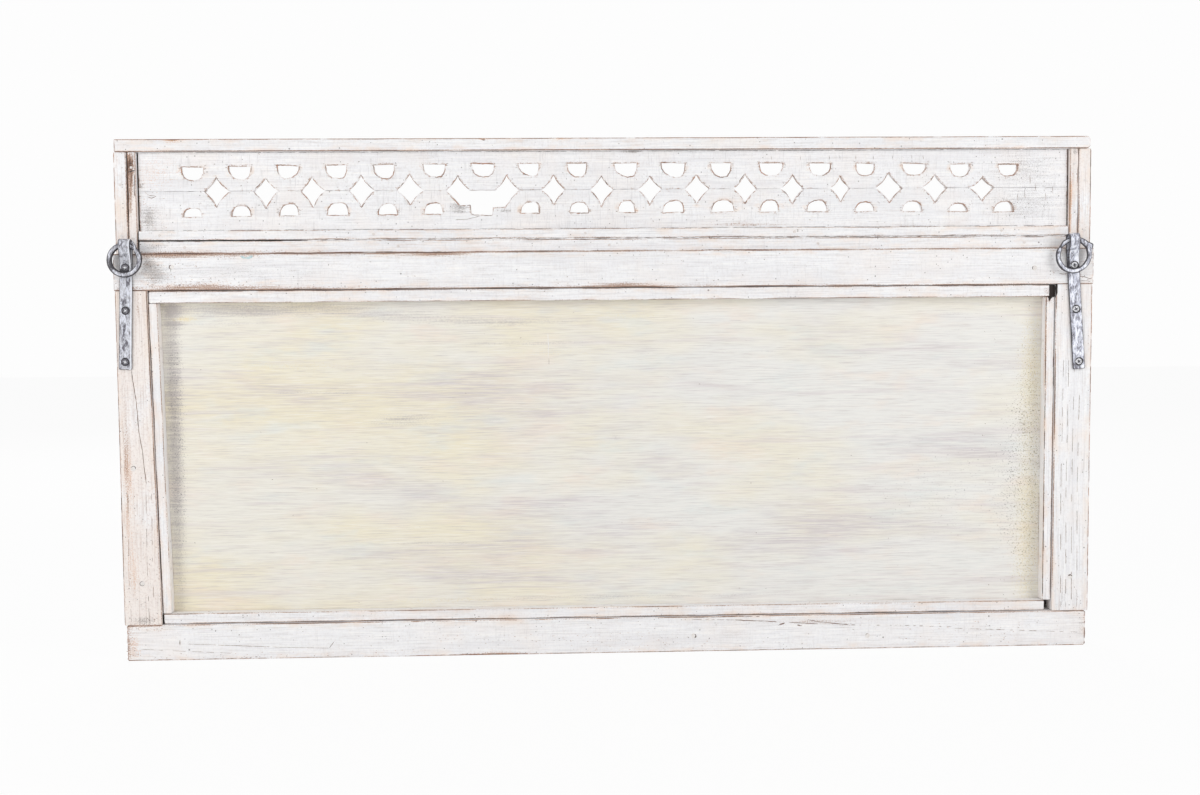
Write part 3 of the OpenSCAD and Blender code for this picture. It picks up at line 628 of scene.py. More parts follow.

# worn and dirty places, and on the backing panel painted shade too: kind, place along the board, place across
# it, their radii, strength
PATCHES = {
    "back_middle_rail": [
        ("wear", 330, 455.6, 210, 2.4, 0.42), ("wear", -60, 418.2, 260, 2.0, 0.36),
        ("wear", 300, 436, 260, 16, 0.1), ("near", 380, 424, 150, 9, 0.5), ("bare", 520, 430, 14, 12, 0.3),
        ("wear", 537, 421, 10, 4, 0.5), ("wear", 465, 420.5, 62, 4.4, 0.46),
        ("bare", 440, 422, 30, 4.0, 0.3), ("wear", 400, 418.5, 120, 2.4, 0.4),
        ("wear", 480, 455, 60, 3.0, 0.5), ("near", 500, 436, 22, 20, 1.2),
        ("wear", 195, 454.5, 42, 2.8, 0.5), ("wear", -17, 418.5, 30, 2.6, 0.45),
        ("grime", 511, 447, 9, 8, 0.42), ("grime", 504, 434, 15, 14, 0.5),
        ("grime", 420, 436, 130, 16, 0.38), ("grime", -512, 450, 12, 6, 0.5),
        ("wear", -500, 424, 30, 3, 0.3)],
    "base_strip": [
        ("grime", 508, 464, 14, 5, 0.5), ("grime", 478, 462, 34, 6, 0.34), ("wear", 480, 458, 60, 2.4, 0.5)],
    "back_bottom_rail": [
        ("wear", 546.5, 18, 6, 24, 0.62), ("bare", 540, 16, 10, 20, 0.5), ("wear", 530, 39, 20, 2.4, 0.5),
        ("grime", -542, 22, 5, 20, 0.5), ("wear", 137, 0.6, 34, 3.0, 0.8), ("wear", -547, 30, 3, 14, 0.7),
        ("wear", -230, 32, 60, 4, 0.3), ("bare", -330, 17, 5, 4, 0.3), ("wear", 60, 15, 170, 7, 0.14),
        ("wear", -260, 30, 90, 6, 0.2)],
    "back_stile_right": [
        ("wear", 205, 540, 45, 4.5, 0.42), ("bare", 215, 539, 30, 3.5, 0.5), ("grime", 46, 527, 6, 18, 0.7),
        ("wear", 300, 538, 60, 7, 0.16), ("wear", 395, 519, 22, 3, 0.5), ("bare", 165, 540, 85, 6.5, 0.42),
        ("bare", 100, 534, 26, 6, 0.36), ("wear", 250, 541, 70, 4, 0.25)],
    "back_stile_left": [
        ("grime", 60, -520, 24, 9, 0.4), ("wear", 410, -528, 10, 14, 0.2)],
    "cap_board": [
        ("bare", 484, 582.4, 10, 2.2, 1.0), ("wear", 483, 583, 5, 1.4, 0.9),
        ("bare", 140, 582.6, 12, 1.8, 0.8), ("bare", 54, 582.6, 8, 1.8, 0.8),
        ("grime", 534, 578, 7, 2, 0.6), ("grime", 200, 576, 60, 4, 0.15)],
    "filler_right": [
        ("wear", 538, 530.5, 26, 4.0, 0.85), ("wear", 558, 530, 12, 3.4, 0.8),
        ("grime", 562, 531, 8, 3, 0.8), ("wear", 505, 531, 12, 3, 0.3)],
    "filler_left": [
        ("bare", 508, -525, 42, 2.0, 1.0), ("grime", 566, -530, 5, 4, 0.8)],
    "bead_left": [
        ("bare", 340, -496.8, 90, 1.6, 0.75), ("bare", 120, -496.8, 90, 1.6, 0.5),
        ("wear", 398, -500, 5, 6, 0.6)],
    "bead_top": [
        ("grime", 440, 409, 20, 5, 0.35), ("wear", -498, 408, 4, 6, 0.6)],
    "backing_panel": [
        ("bare", 478, 385, 20, 1.4, 1.3), ("bare", 470, 392, 34, 2, 0.5),
        # the grey band down the +X end is painted shadow of the bead and stile with grit in it; the grey
        # bands below make the panel darker along its top under the bead
        ("grime", 491, 260, 12, 230, 0.72), ("wear", 488, 250, 14, 200, 0.9),
        ("grime", 380, 397, 160, 8, 0.56), ("grime", 130, 378, 110, 5, 0.6),
        ("grime", 250, 386, 90, 5, 0.5), ("grime", 440, 378, 60, 3, 0.5), ("bare", 60, 344, 110, 5, 0.36),
        ("grime", -6, 245, 7, 4, 0.6), ("grime", -40, 250, 2.5, 1.2, 1.3),
        ("bare", 258, 256, 2.2, 2.2, 1.2), ("wear", -380, 180, 140, 90, 0.6),
        ("bare", -484, 120, 25, 120, 0.5), ("bare", -486, 320, 22, 110, 0.44),
        ("wear", -482, 215, 26, 190, 1.0), ("grime", -478, 255, 13, 20, 0.5),
        ("grime", -455, 132, 12, 8, 0.5), ("grime", -408, 384, 46, 5, 0.34),
        ("grime", -360, 262, 46, 3, 0.4), ("bare", 420, 110, 90, 40, 0.2), ("grime", 100, 352, 120, 3, 0.6),
        ("grime", 230, 268, 50, 8, 0.55), ("grime", 190, 128, 90, 3, 0.5), ("grime", -20, 62, 300, 4, 0.5),
        ("grime", -160, 340, 60, 3, 0.5), ("grime", -60, 148, 50, 4, 0.5), ("grime", 330, 300, 60, 3, 0.45),
        ("bare", 180, 60, 120, 6, 0.4), ("bare", 350, 330, 110, 9, 0.34), ("bare", -20, 385, 60, 6, 0.36),
        ("grime", 420, 390, 70, 5, 0.4), ("grime", 300, 330, 120, 14, 0.22)]}

board("front_stile_left", "z", white_z, SIGHT_HIGH, (0.5, 0.4, 0.2, 0.16), chip=0.4)
board("front_stile_right", "z", white_z, SIGHT_LOW, (0.16, 0.2, 0.4, 0.5), chip=0.4)
board("front_bottom_rail", "x", white_x, SIGHT_HIGH, (0.5, 0.3, 0.1, 0.16), bend=scribe_rail, chip=0.4)
board("front_transom", "x", white_x, SIGHT_LOW, (0.16, 0.1, 0.1, 0.1), bend=scribe_rail, chip=0.4)
board("front_fret_sill", "x", white_x, SIGHT_HIGH, (0.1, 0.1, 0.2, 0.16), bend=scribe_rail, chip=0.4)
board("cap_board", "x", white_x, PLAIN, (0.5, 0.85, 0.6, 0.45), ends=(4.5, 1.5))
board("back_stile_left", "z", white_z, PLAIN, (0.3, 0.5, 0.6, 0.3))
board("back_stile_right", "z", warm_z, PLAIN, (0.3, 0.65, 0.6, 0.3), bend=taper_stile)
board("back_bottom_rail", "x", white_x, PLAIN, (0.3, 0.55, 0.6, 0.3), ends=(2.6, 1.6))
board("back_middle_rail", "x", white_x, PLAIN, (0.3, 0.72, 0.68, 0.3))
board("post_left", "z", cream_z, PLAIN, (0.3, 0.5, 0.6, 0.3))
board("post_right", "z", cream_z, PLAIN, (0.3, 0.6, 0.55, 0.3))
board("filler_left", "z", cream_z, STRIP, (0.3, 0.6, 0.7, 0.3))
board("filler_right", "z", cream_z, STRIP, (0.3, 0.6, 0.6, 0.3))
board("base_strip", "x", white_x, STRIP, (0.3, 0.6, 0.5, 0.3))
board("ledge_bead", "x", white_x, STRIP, (0.3, 0.5, 0.45, 0.3))
board("bead_top", "x", white_x, STRIP, (0.3, 0.6, 0.45, 0.3), ends=(1.0, 2.2))
board("bead_foot", "x", white_x, STRIP, (0.3, 0.6, 0.62, 0.3))
board("bead_left", "z", white_z, STRIP, (0.3, 0.5, 0.5, 0.3))
right_bead = span("bead_right")
board("bead_right", "z", white_z, STRIP, (0.3, 0.45, 0.5, 0.3), bend=lean_bead,
      box=(right_bead[0], np.array([right_bead[0][0] + SIDE_BEAD, *right_bead[1][1:]])))
board("backing_panel", "x", ply, (0.3,) * 4, (0.1,) * 4, rough=0.1)


FRET_FIRST = 462.65
FRET_PITCH = 53.9
FRET_COUNT = 18
Z_FLAT_LOW = 500.6
Z_JOINT = 526.15
Z_FLAT_HIGH = 555.4
BROKEN = 6
JOINT = 0.14
FLARE = 1.5
HOLE_STEP, JOINT_STEP, EDGE_STEP = 0.9, 1.1, 6
BACK_STEP, FRONT_STEP = 3.4, 9.0
WEAR_REACH, WHITE_REACH = 1.1, 7
SIDE_BOW = 1.5
# how far the worn rims of a board's back and front are drawn in, across the face and into the wall
BACK_RIM, BACK_FALL, FRONT_RIM = 0.42, 0.4, 0.3
# how deep the loops of points within the walls lie, from the back and from the front
WALL_BACK, WALL_FRONT = 2.5, 2.0
# the joint of the boards fades out past this reach from the middle
JOINT_SHOWN, JOINT_FADE = 440, 12
# how the rows of half rounds rise: the column at the top, and the curve
UPPER_ARCH, LOWER_ARCH = (8, 0.042), (10, 0.026)

# every hole was cut by hand: reach towards +X, reach towards -X, height, slant
UPPER = [
    (13, 11.5, 14.5, 0), (14.5, 9.5, 14.5, 0), (14.5, 9, 13, 0.4), (15, 8, 14.5, 0), (15.5, 7, 15, 0),
    (14.5, 10, 14, 0), (14, 11, 14, 0), (16, 7, 14, -0.25), (14.5, 6.5, 15, 0), (16, 9.5, 15, -0.12),
    (16.5, 10, 16, -0.1), (14.5, 8, 15, 0.05), (13.5, 13, 14, 0), (10.5, 13.5, 13.5, 0),
    (11, 10, 13.5, 0.1), (12, 15, 12.5, 0), (11.5, 11.5, 14, 0), (10, 12.5, 12.5, 0)]
LOWER = [
    (12, 8.5, 9.5, 0), (12, 8.5, 11.5, 0.1), (13, 7.5, 13, 0), (14, 9, 13.5, 0), (11, 9.5, 12, 0),
    (14, 6.5, 12, 0), None, (13.5, 6.5, 12.5, 0), (12, 8.5, 11.5, 0), (11.5, 7, 12.5, 0.05),
    (15, 8, 12.5, 0), (13.5, 11.5, 13, 0), (12, 8, 12.5, 0), (13, 9.5, 12.5, 0), (11.5, 10, 10, 0),
    (12, 10.5, 11, 0), (12, 8.5, 8.5, 0.1), (14.5, 7.5, 11, 0)]
# the diamonds: offset towards +X, half width, height above and below the joint
DIAMONDS = [
    (1.5, 14, 15, 17.5), (1.3, 14, 14.5, 18.5), (3.2, 13.5, 15.5, 18), (2.6, 14.5, 16.5, 17.5),
    (2.7, 15.5, 17.5, 15.5), (3.3, 13.5, 15.5, 17.5), (1.8, 13.5, 16, 18), (3.7, 13.5, 15.5, 16),
    (3.2, 13.5, 14.5, 18), (2.6, 14, 14, 16.5), (3.7, 14.7, 15.5, 16.5), (2.4, 13.8, 16, 16),
    (2.8, 13.3, 15, 16.5), (2.1, 11.7, 13.5, 15.5), (0.2, 15.8, 17, 16), (1.7, 14.7, 15, 16.5),
    (1.2, 14.5, 11.5, 15)]


def fret_x(i):
    """Middle of a column of half rounds, counted from +X."""
    return FRET_FIRST - i * FRET_PITCH


def resample(points, step):
    """Points at even steps along an open line, with its corners kept."""
    out = []
    for p, q in zip(points[:-1], points[1:]):
        p, q = np.array(p, float), np.array(q, float)
        n = max(1, int(math.ceil(np.linalg.norm(q - p) / step)))
        out += [p + (q - p) * i / n for i in range(n)]
    return out + [np.array(points[-1], float)]


def roughen(points, rng, amount, closed=True):
    """Moves points across their line by uneven small steps."""
    p = np.array(points)
    ahead, behind = np.roll(p, -1, 0), np.roll(p, 1, 0)
    tangent = ahead - behind
    length = np.maximum(np.hypot(*tangent.T), TINY)
    normal = np.stack([tangent[:, 1], -tangent[:, 0]], 1) / length[:, None]
    n = len(p)
    wobble = smooth_line(rng, np.arange(n), 3.0) * 0.6 + smooth_line(rng, np.arange(n), 9.0) * 0.6
    if closed:
        fade = np.minimum(1, np.minimum(np.arange(n), n - np.arange(n)) / 3)
    else:
        fade = np.minimum(1, np.minimum(np.arange(n), n - 1 - np.arange(n)) / 3)
    return p + normal * (wobble * amount * fade)[:, None]


def half_round(cx, z_flat, hole, rise, rng):
    """Outline of a half round chiselled in flats. rise is 1 where its round side is up."""
    left, right, tall, slant = hole
    turns = np.linspace(0.0, math.pi, 9) + np.r_[0, rng.uniform(-0.09, 0.09, 7), 0]
    shape = []
    for t in turns:
        x = abs(math.cos(t)) ** 0.8 * (left if math.cos(t) > 0 else -right)
        z = tall * abs(math.sin(t)) ** 0.85 * (1 + slant * x / left)
        shape.append((x, z))
    tilt = rng.uniform(-0.5, 0.5)
    shape = [(cx + x, z_flat + rise * (z + tilt * x / left)) for x, z in shape]
    return roughen(resample(shape + shape[:1], HOLE_STEP)[:-1], rng, 0.3)


def diamond_side(p, q, bow):
    """A side of a diamond from p to q, bowed towards the middle of the diamond."""
    p, q = np.array(p, float), np.array(q, float)
    way = q - p
    normal = np.array([way[1], -way[0]]) / np.linalg.norm(way)
    return [p + way * t + normal * bow * 4 * t * (1 - t) for t in np.linspace(0, 1, 9)]


# outline of the break as seen from the back: away from the half round's middle, height
BREAK_STEPS = [
    (27.6, 509.3), (16.2, 509.5), (15.3, 500.6), (12.4, 498.6), (-8.0, 498.4), (-8.7, 506.9), (-22.8, 507.4)]


def arch(i, top, bend):
    """The rows of half rounds rise a little towards the middle."""
    return -bend * (i - top) ** 2


fret_rng = seeded("fretwork")
upper_holes, lower_holes = [], []
for i in range(FRET_COUNT):
    upper_holes.append(half_round(fret_x(i), Z_FLAT_HIGH + arch(i, *UPPER_ARCH), UPPER[i], -1, fret_rng))
    if LOWER[i]:
        lower_holes.append(half_round(fret_x(i), Z_FLAT_LOW + arch(i, *LOWER_ARCH), LOWER[i], 1, fret_rng))


def notched_edge(z_edge, rise):
    """Edge of a board at the joint, from +X to -X, with half a diamond in each notch."""
    low, high = span("fret_board_upper")
    line = [(high[0], z_edge)]
    for i, (away, w, up, down) in enumerate(DIAMONDS):
        cx = fret_x(i) - FRET_PITCH / 2 + away
        tip = (cx + fret_rng.uniform(-0.6, 0.6), Z_JOINT + (up if rise > 0 else -down))
        bow = -SIDE_BOW * rise
        if rise < 0 and i == BROKEN - 1:
            steps = [(fret_x(BROKEN) + dx, z) for dx, z in BREAK_STEPS]
            line += diamond_side((cx + w, z_edge), steps[0], bow * 0.4) + steps[1:]
            continue
        if rise < 0 and i == BROKEN:
            line += diamond_side((fret_x(BROKEN) + BREAK_STEPS[-1][0] - 0.1, BREAK_STEPS[-1][1]),
                                 (cx - w, z_edge), bow * 0.4)
            continue
        line += diamond_side((cx + w, z_edge), tip, bow) + diamond_side(tip, (cx - w, z_edge), bow)[1:]
    return line + [(low[0], z_edge)]


def area(loop):
    """Signed area, above zero for a loop that runs anticlockwise."""
    x, z = np.array(loop).T
    return 0.5 * np.sum(x * np.roll(z, -1) - z * np.roll(x, -1))


def inside(points, loops):
    """Which points lie in the wood: inside the outline and outside every hole."""
    count = np.zeros(len(points), int)
    px, pz = points[:, 0], points[:, 1]
    for loop in loops:
        p, q = np.array(loop), np.roll(np.array(loop), -1, 0)
        x0, x1 = p[:, 0].min(), p[:, 0].max()
        near = np.where((px >= x0) & (px <= x1))[0]
        for block in np.array_split(near, max(1, len(near) * len(p) // 4000000)):
            x, z = px[block, None], pz[block, None]
            hit = (p[:, 1] > z) != (q[:, 1] > z)
            with np.errstate(divide="ignore", invalid="ignore"):
                cross = p[:, 0] + (z - p[:, 1]) / (q[:, 1] - p[:, 1]) * (q[:, 0] - p[:, 0])
            count[block] += (hit & (x < cross)).sum(1)
    return count % 2 == 1


def offset(loop, amount):
    """Moves a loop into the wood by an uneven amount at each point."""
    p = np.array(loop)
    tangent = np.roll(p, -1, 0) - np.roll(p, 1, 0)
    tangent /= np.maximum(np.hypot(*tangent.T), TINY)[:, None]
    return p + np.stack([-tangent[:, 1], tangent[:, 0]], 1) * np.asarray(amount)[:, None]


def pierced_board(node, edge, holes, material, blobs):
    """A board with worn holes. edge is its outline; the wood lies to the left of every loop.

    blobs are (kind, x, z, radius along x, radius along z, strength).
    """
    rng = seeded(node)
    low, high = span(node)
    y0, y1 = low[1], high[1]
    loops = [np.array(edge) if area(edge) > 0 else np.array(edge)[::-1]]
    loops += [np.array(h)[::-1] if area(h) > 0 else np.array(h) for h in holes]
    points, faces = [], []
    wear_at, edge_at = [], []
    first = [0]
    for loop in loops:
        first.append(first[-1] + len(loop))
    rim = np.concatenate(loops)
    total = len(rim)
    worn = []
    for k, loop in enumerate(loops):
        u = np.arange(len(loop)) * 1.0
        worn.append(0.62 + 0.3 * smooth_line(rng, u, 3.5) + 0.4 * np.clip(smooth_line(rng, u, 8), 0, 1))
    joint = (np.abs(loops[0][:, 1] - Z_JOINT) < 1.0)
    reach = np.abs(loops[0][:, 0] - (fret_x(0) + fret_x(FRET_COUNT - 1)) / 2)
    closed = np.clip((reach - JOINT_SHOWN) / JOINT_FADE, 0, 1)
    faint = 0.1 + 0.5 * np.clip(smooth_line(rng, loops[0][:, 0] + 9999, 4.0), 0, 1)
    worn[0] = np.where(joint, faint * (1 - closed), worn[0])
    worn_all = np.clip(np.concatenate(worn), 0.02, 1.3)
    is_joint = np.concatenate([joint] + [np.zeros(len(loop), bool) for loop in loops[1:]])
    cut = np.where(is_joint, 0.25, 1.0) * np.clip(worn_all, 0.1, 1.3)
    back = np.concatenate([offset(loop, BACK_RIM * c) for loop, c in zip(loops, np.split(cut, first[1:-1]))])
    at_edge = ((loops[0][:, 0] < low[0] + 1) | (loops[0][:, 0] > high[0] - 1)
               | (loops[0][:, 1] < low[2] + 1) | (loops[0][:, 1] > high[2] - 1) | joint)
    flare = [np.where(at_edge, 0.0, FLARE)] + [np.full(len(loop), FLARE) for loop in loops[1:]]
    deep = np.concatenate([offset(loop, f) for loop, f in zip(loops, flare)])
    front = np.concatenate([offset(loop, FRONT_RIM * c + f)
                            for loop, c, f in zip(loops, np.split(cut, first[1:-1]), flare)])

    tree = kdtree.KDTree(total)
    for k, (x, z) in enumerate(rim):
        tree.insert((x, z, 0), k)
    tree.balance()

    def sheet(loop_points, y, step, turned):
        xs = np.arange(low[0] + step / 2, high[0], step)
        zs = np.arange(low[2] + step / 2, high[2], step)
        grid = np.stack(np.meshgrid(xs, zs, indexing="ij"), -1).reshape(-1, 2)
        grid += rng.uniform(-0.25, 0.25, grid.shape) * step
        grid = grid[inside(grid, loops)]
        grid = np.array([p for p in grid if tree.find((p[0], p[1], 0))[2] > min(1.6, step * 0.45)])
        flat = np.concatenate([loop_points, grid])
        edges = [(first[k] + i, first[k] + (i + 1) % len(loop)) for k, loop in enumerate(loops)
                 for i in range(len(loop))]
        verts, _, tris, origin, _, _ = delaunay_2d_cdt([Vector(p) for p in flat], edges, [], 0, 1e-6)
        verts = np.array([tuple(v) for v in verts])
        tris = np.array([t for t in tris if len(t) == 3])
        centre = verts[tris].mean(1)
        own = [loop_points[first[k]:first[k + 1]] for k in range(len(loops))]
        tris = tris[inside(centre, own)]
        base = len(points)
        for x, z in verts:
            d = tree.find((x, z, 0))
            points.append((x, y, z))
            wear_at.append(float(worn_all[d[1]] * max(0.0, 1 - d[2] / WEAR_REACH)))
            edge_at.append(0.5 * max(0.0, 1 - d[2] / WHITE_REACH) if not is_joint[d[1]] else 0.0)
        where = {}
        for k, sources in enumerate(origin):
            for source in sources:
                where[source] = base + k
        for t in tris:
            a, b, c = verts[t]
            up = (b[0] - a[0]) * (c[1] - a[1]) - (b[1] - a[1]) * (c[0] - a[0]) > 0
            t = [base + int(v) for v in t]
            faces.append(t if up != turned else t[::-1])
        return [where[k] for k in range(total)]

    back_at = sheet(back, y1, BACK_STEP, True)
    front_at = sheet(front, y0, FRONT_STEP, False)

    def ring(loop_points, y, wear):
        base = len(points)
        for k, (x, z) in enumerate(loop_points):
            points.append((x, y[k], z))
            wear_at.append(float(wear[k]))
            edge_at.append(0.5)
        return [base + k for k in range(total)]

    wall = 0.3 + 0.3 * np.concatenate([smooth_line(rng, np.arange(len(loop)) * 1.0, 6)
                                       + rng.uniform(-0.5, 0.8) for loop in loops])
    rim_back = ring(rim, y1 - BACK_FALL * cut, np.where(is_joint, worn_all, worn_all * 0.9 + 0.1))
    wall_back = ring(rim, np.full(total, y1 - WALL_BACK), wall)
    wall_front = ring(deep, np.full(total, y0 + WALL_FRONT), wall * 0.85)
    rim_front = ring(deep, y0 + FRONT_RIM * cut, worn_all * 0.6)
    rings = [back_at, rim_back, wall_back, wall_front, rim_front, front_at]
    for upper, lower in zip(rings[:-1], rings[1:]):
        for k in range(len(loops)):
            n = first[k + 1] - first[k]
            for i in range(n):
                p, q = first[k] + i, first[k] + (i + 1) % n
                faces.append((upper[p], upper[q], lower[q], lower[p]))
    at = np.array(points)
    values = {"wear": np.array(wear_at), "near": np.array(edge_at), "grime": np.zeros(len(at)),
              "bare": np.zeros(len(at))}
    for kind, x, z, rx, rz, strength in blobs:
        blob = np.exp(-((at[:, 0] - x) / rx) ** 2 - ((at[:, 2] - z) / rz) ** 2)
        values[kind] += strength * blob * (at[:, 1] > y1 - 1)
    make(node.replace("_", "-") + "-carved", points, faces, material, (node,), marks=values, sharp=35)


def corner_blobs(rows, z_flat, curve, rise):
    """Torn paint and raw wood beside the corners of the half rounds."""
    out = []
    for i, hole in enumerate(rows):
        if not hole:
            continue
        for reach, side in ((hole[0], 1), (-hole[1], -1)):
            x = fret_x(i) + reach + side * 1.5
            z = z_flat + arch(i, *curve) + rise * fret_rng.uniform(1, 4)
            strength = fret_rng.uniform(-0.3, 0.9)
            if strength > 0:
                out.append(("bare", x, z, 2.2, 2.6, strength * 0.75))
            out.append(("near", x, z + rise * 2, 3.5, 5.0, 0.8))
    return out


def settle(line, rise):
    """Keeps each board on its own side of the joint."""
    line = np.array(line)
    edge = Z_JOINT + rise * JOINT / 2
    line[:, 1] = np.maximum(line[:, 1], edge) if rise > 0 else np.minimum(line[:, 1], edge)
    return line


FRET_UPPER_PATCHES = [
    ("grime", -28, 570, 13, 2.6, 1.1), ("grime", 521, 532, 3, 4, 0.9), ("near", 440, 545, 20, 12, 0.4),
    ("wear", -488, 560, 14, 7, 0.16), ("grime", -478, 545, 60, 30, 0.46), ("bare", 505, 545, 30, 22, 0.32)]
FRET_LOWER_PATCHES = [
    ("grime", 514, 496, 9, 14, 0.6), ("wear", -158, 486, 50, 3.2, 0.5), ("grime", 168, 506, 13, 8, 0.75),
    ("grime", 117, 503, 9, 3, 0.7), ("near", -150, 508, 90, 9, 0.7), ("wear", -330, 485, 60, 2, 0.3),
    ("grime", -478, 510, 60, 30, 0.46), ("grime", 500, 500, 22, 16, 0.3)]
UPPER_MARKS = FRET_UPPER_PATCHES + corner_blobs(UPPER, Z_FLAT_HIGH, UPPER_ARCH, -1)
LOWER_MARKS = FRET_LOWER_PATCHES + corner_blobs(LOWER, Z_FLAT_LOW, LOWER_ARCH, 1)


def fret_outline(node, rise):
    """The joint line of a board of the fretwork, and its whole outline."""
    low, high = span(node)
    z_joint = Z_JOINT + rise * JOINT / 2
    z_far = high[2] if rise > 0 else low[2]
    line = resample(notched_edge(z_joint, rise), JOINT_STEP)
    line = settle(roughen(line, fret_rng, 0.3, closed=False), rise)
    corners = [(low[0], z_joint), (low[0], z_far), (high[0], z_far), (high[0], z_joint)]
    return line, list(line) + resample(corners, EDGE_STEP)[1:-1]


upper_line, upper_edge = fret_outline("fret_board_upper", 1)
lower_line, lower_edge = fret_outline("fret_board_lower", -1)
pierced_board("fret_board_upper", upper_edge, upper_holes, white_fret, UPPER_MARKS)
pierced_board("fret_board_lower", lower_edge, lower_holes, white_fret, LOWER_MARKS)


# the back faces of the boards, and the ends of the pegs
Y_RAIL, Y_BEAD, Y_STRIP, Y_POST, Y_FRET, Y_CAP, Y_PLY, Y_PEG = 22, 19.5, 13.5, 14, 8, 15, 4, 22.4
STROKE_STEP = 1.3
DASH_STEP = 0.8
DASH_STEPS_LEAST = 3
THINNEST = 0.72
CUT_OUT_STEP = 1.0


def strokes(name, material, lines, depth=0.7, proud=0.03, wander=0.3):
    """Closed slivers let into the face of a board. lines are (face y, width, points as X and Z)."""
    rng = seeded(name)
    points, faces = [], []
    for y, width, line in lines:
        path = roughen(resample(line, STROKE_STEP), rng, wander * min(1.0, width), closed=False)
        n = len(path)
        ahead = np.gradient(path, axis=0)
        ahead /= np.maximum(np.hypot(*ahead.T), TINY)[:, None]
        side = np.stack([-ahead[:, 1], ahead[:, 0]], 1)
        ends = np.minimum(np.arange(n), np.arange(n)[::-1]) + 0.4
        thick = THINNEST + 0.28 * smooth_line(rng, np.arange(n) * 1.0, 3.0)
        half = width / 2 * thick * np.minimum(1, ends / 2.5)
        base = len(points)
        for (x, z), (sx, sz), h in zip(path, side, half):
            points += [(x + sx * h, y + proud * 0.3, z + sz * h), (x, y + proud, z),
                       (x - sx * h, y + proud * 0.3, z - sz * h), (x, y - depth, z)]
        for i in range(n - 1):
            for k in range(4):
                m = (k + 1) % 4
                a, b = base + 4 * i, base + 4 * (i + 1)
                faces.append((a + k, b + k, b + m, a + m))
        faces.append(tuple(base + k for k in range(4)))
        faces.append(tuple(base + 4 * (n - 1) + k for k in (3, 2, 1, 0)))
    face_outwards(make(name, points, faces, material))


def cut_out(name, y, depth, outline):
    """A closed piece of painted shade with a ragged outline in X and Z and a flat face at y."""
    loop = roughen(resample(outline + outline[:1], CUT_OUT_STEP)[:-1], seeded(name), 0.35)
    if area(loop) < 0:
        loop = np.array(loop)[::-1]
    n = len(loop)
    points = [(x, y, z) for x, z in loop] + [(x, y - depth, z) for x, z in loop]
    middle = np.mean(loop, axis=0)
    points += [(middle[0], y, middle[1]), (middle[0], y - depth, middle[1])]
    faces = []
    for k in range(n):
        m = (k + 1) % n
        faces += [(k, m, n + m, n + k), (m, k, 2 * n), (n + k, n + m, 2 * n + 1)]
    face_outwards(make(name, points, faces, shade_in_gaps))


def dashes(y, width, line, run, gap, seed):
    """A line that shows only in places."""
    rng = seeded(seed)
    path = resample(line, DASH_STEP)
    out, i = [], 0
    while i < len(path) - DASH_STEPS_LEAST:
        length = max(DASH_STEPS_LEAST, int(rng.uniform(0.4, 1.6) * run / DASH_STEP))
        out.append((y, width * rng.uniform(0.6, 1.2), [tuple(p) for p in path[i:i + length]]))
        i += length + int(rng.uniform(0.3, 1.8) * gap / DASH_STEP)
    return out


def pits(y, x0, x1, z0, z1, count, lean, seed):
    """Small dark nicks spread over a face; lean is how far they run along X against Z."""
    rng = seeded(seed)
    out = []
    for _ in range(count):
        x, z = rng.uniform(x0, x1), rng.uniform(z0, z1)
        run = rng.uniform(0.7, 2.2)
        out.append((y, rng.uniform(0.7, 1.5), [(x, z), (x + run * lean, z + run * (1 - lean))]))
    return out


def together(make_lines, *rows):
    """The lines of several rows of dashes or pits."""
    return [line for row in rows for line in make_lines(*row)]


def arc(x, z, reach, start, end, count):
    """Points along a part of a circle."""
    turn = np.radians(np.linspace(start, end, count))
    return [(x + reach * math.cos(t), z + reach * math.sin(t)) for t in turn]


# painted shade in the gaps between the boards, under the cap and over the ledge: face, width, line, and for
# dashes run, gap and seed
GAPS = [
    (Y_FRET - 1.2, 2.0, [(523.6, 484), (523.6, 568.6)]), (12.6, 1.0, [(534.15, 474), (534.15, 568.6)]),
    (12.0, 1.8, [(523.6, 458), (523.6, 482)]), (12.9, 1.4, [(522, 471.3), (342, 471.3)]),
    (18.6, 1.2, [(513.4, 398), (511.6, 330)]), (18.4, 0.9, [(508.6, 170), (507.2, 90)]),
    (8.0, 4.6, [(-502.5, 52), (-502.9, 42)]), (18.4, 0.9, [(-506.7, 396), (-506.7, 300)])]
GAPS += together(
    dashes,
    (Y_BEAD, 0.6, [(-497.1, 400), (-497.1, 60)], 40, 8, "bare bead edge"),
    (Y_FRET - 1.6, 1.7, [(-523.6, 540), (-523.6, 484)], 60, 1, "fret end"),
    (Y_FRET, 0.55, [(520, 568.9), (-521, 568.9)], 60, 2, "under the cap"),
    (Y_FRET, 0.5, [(518, 482.9), (-518, 482.9)], 30, 5, "over the ledge"))

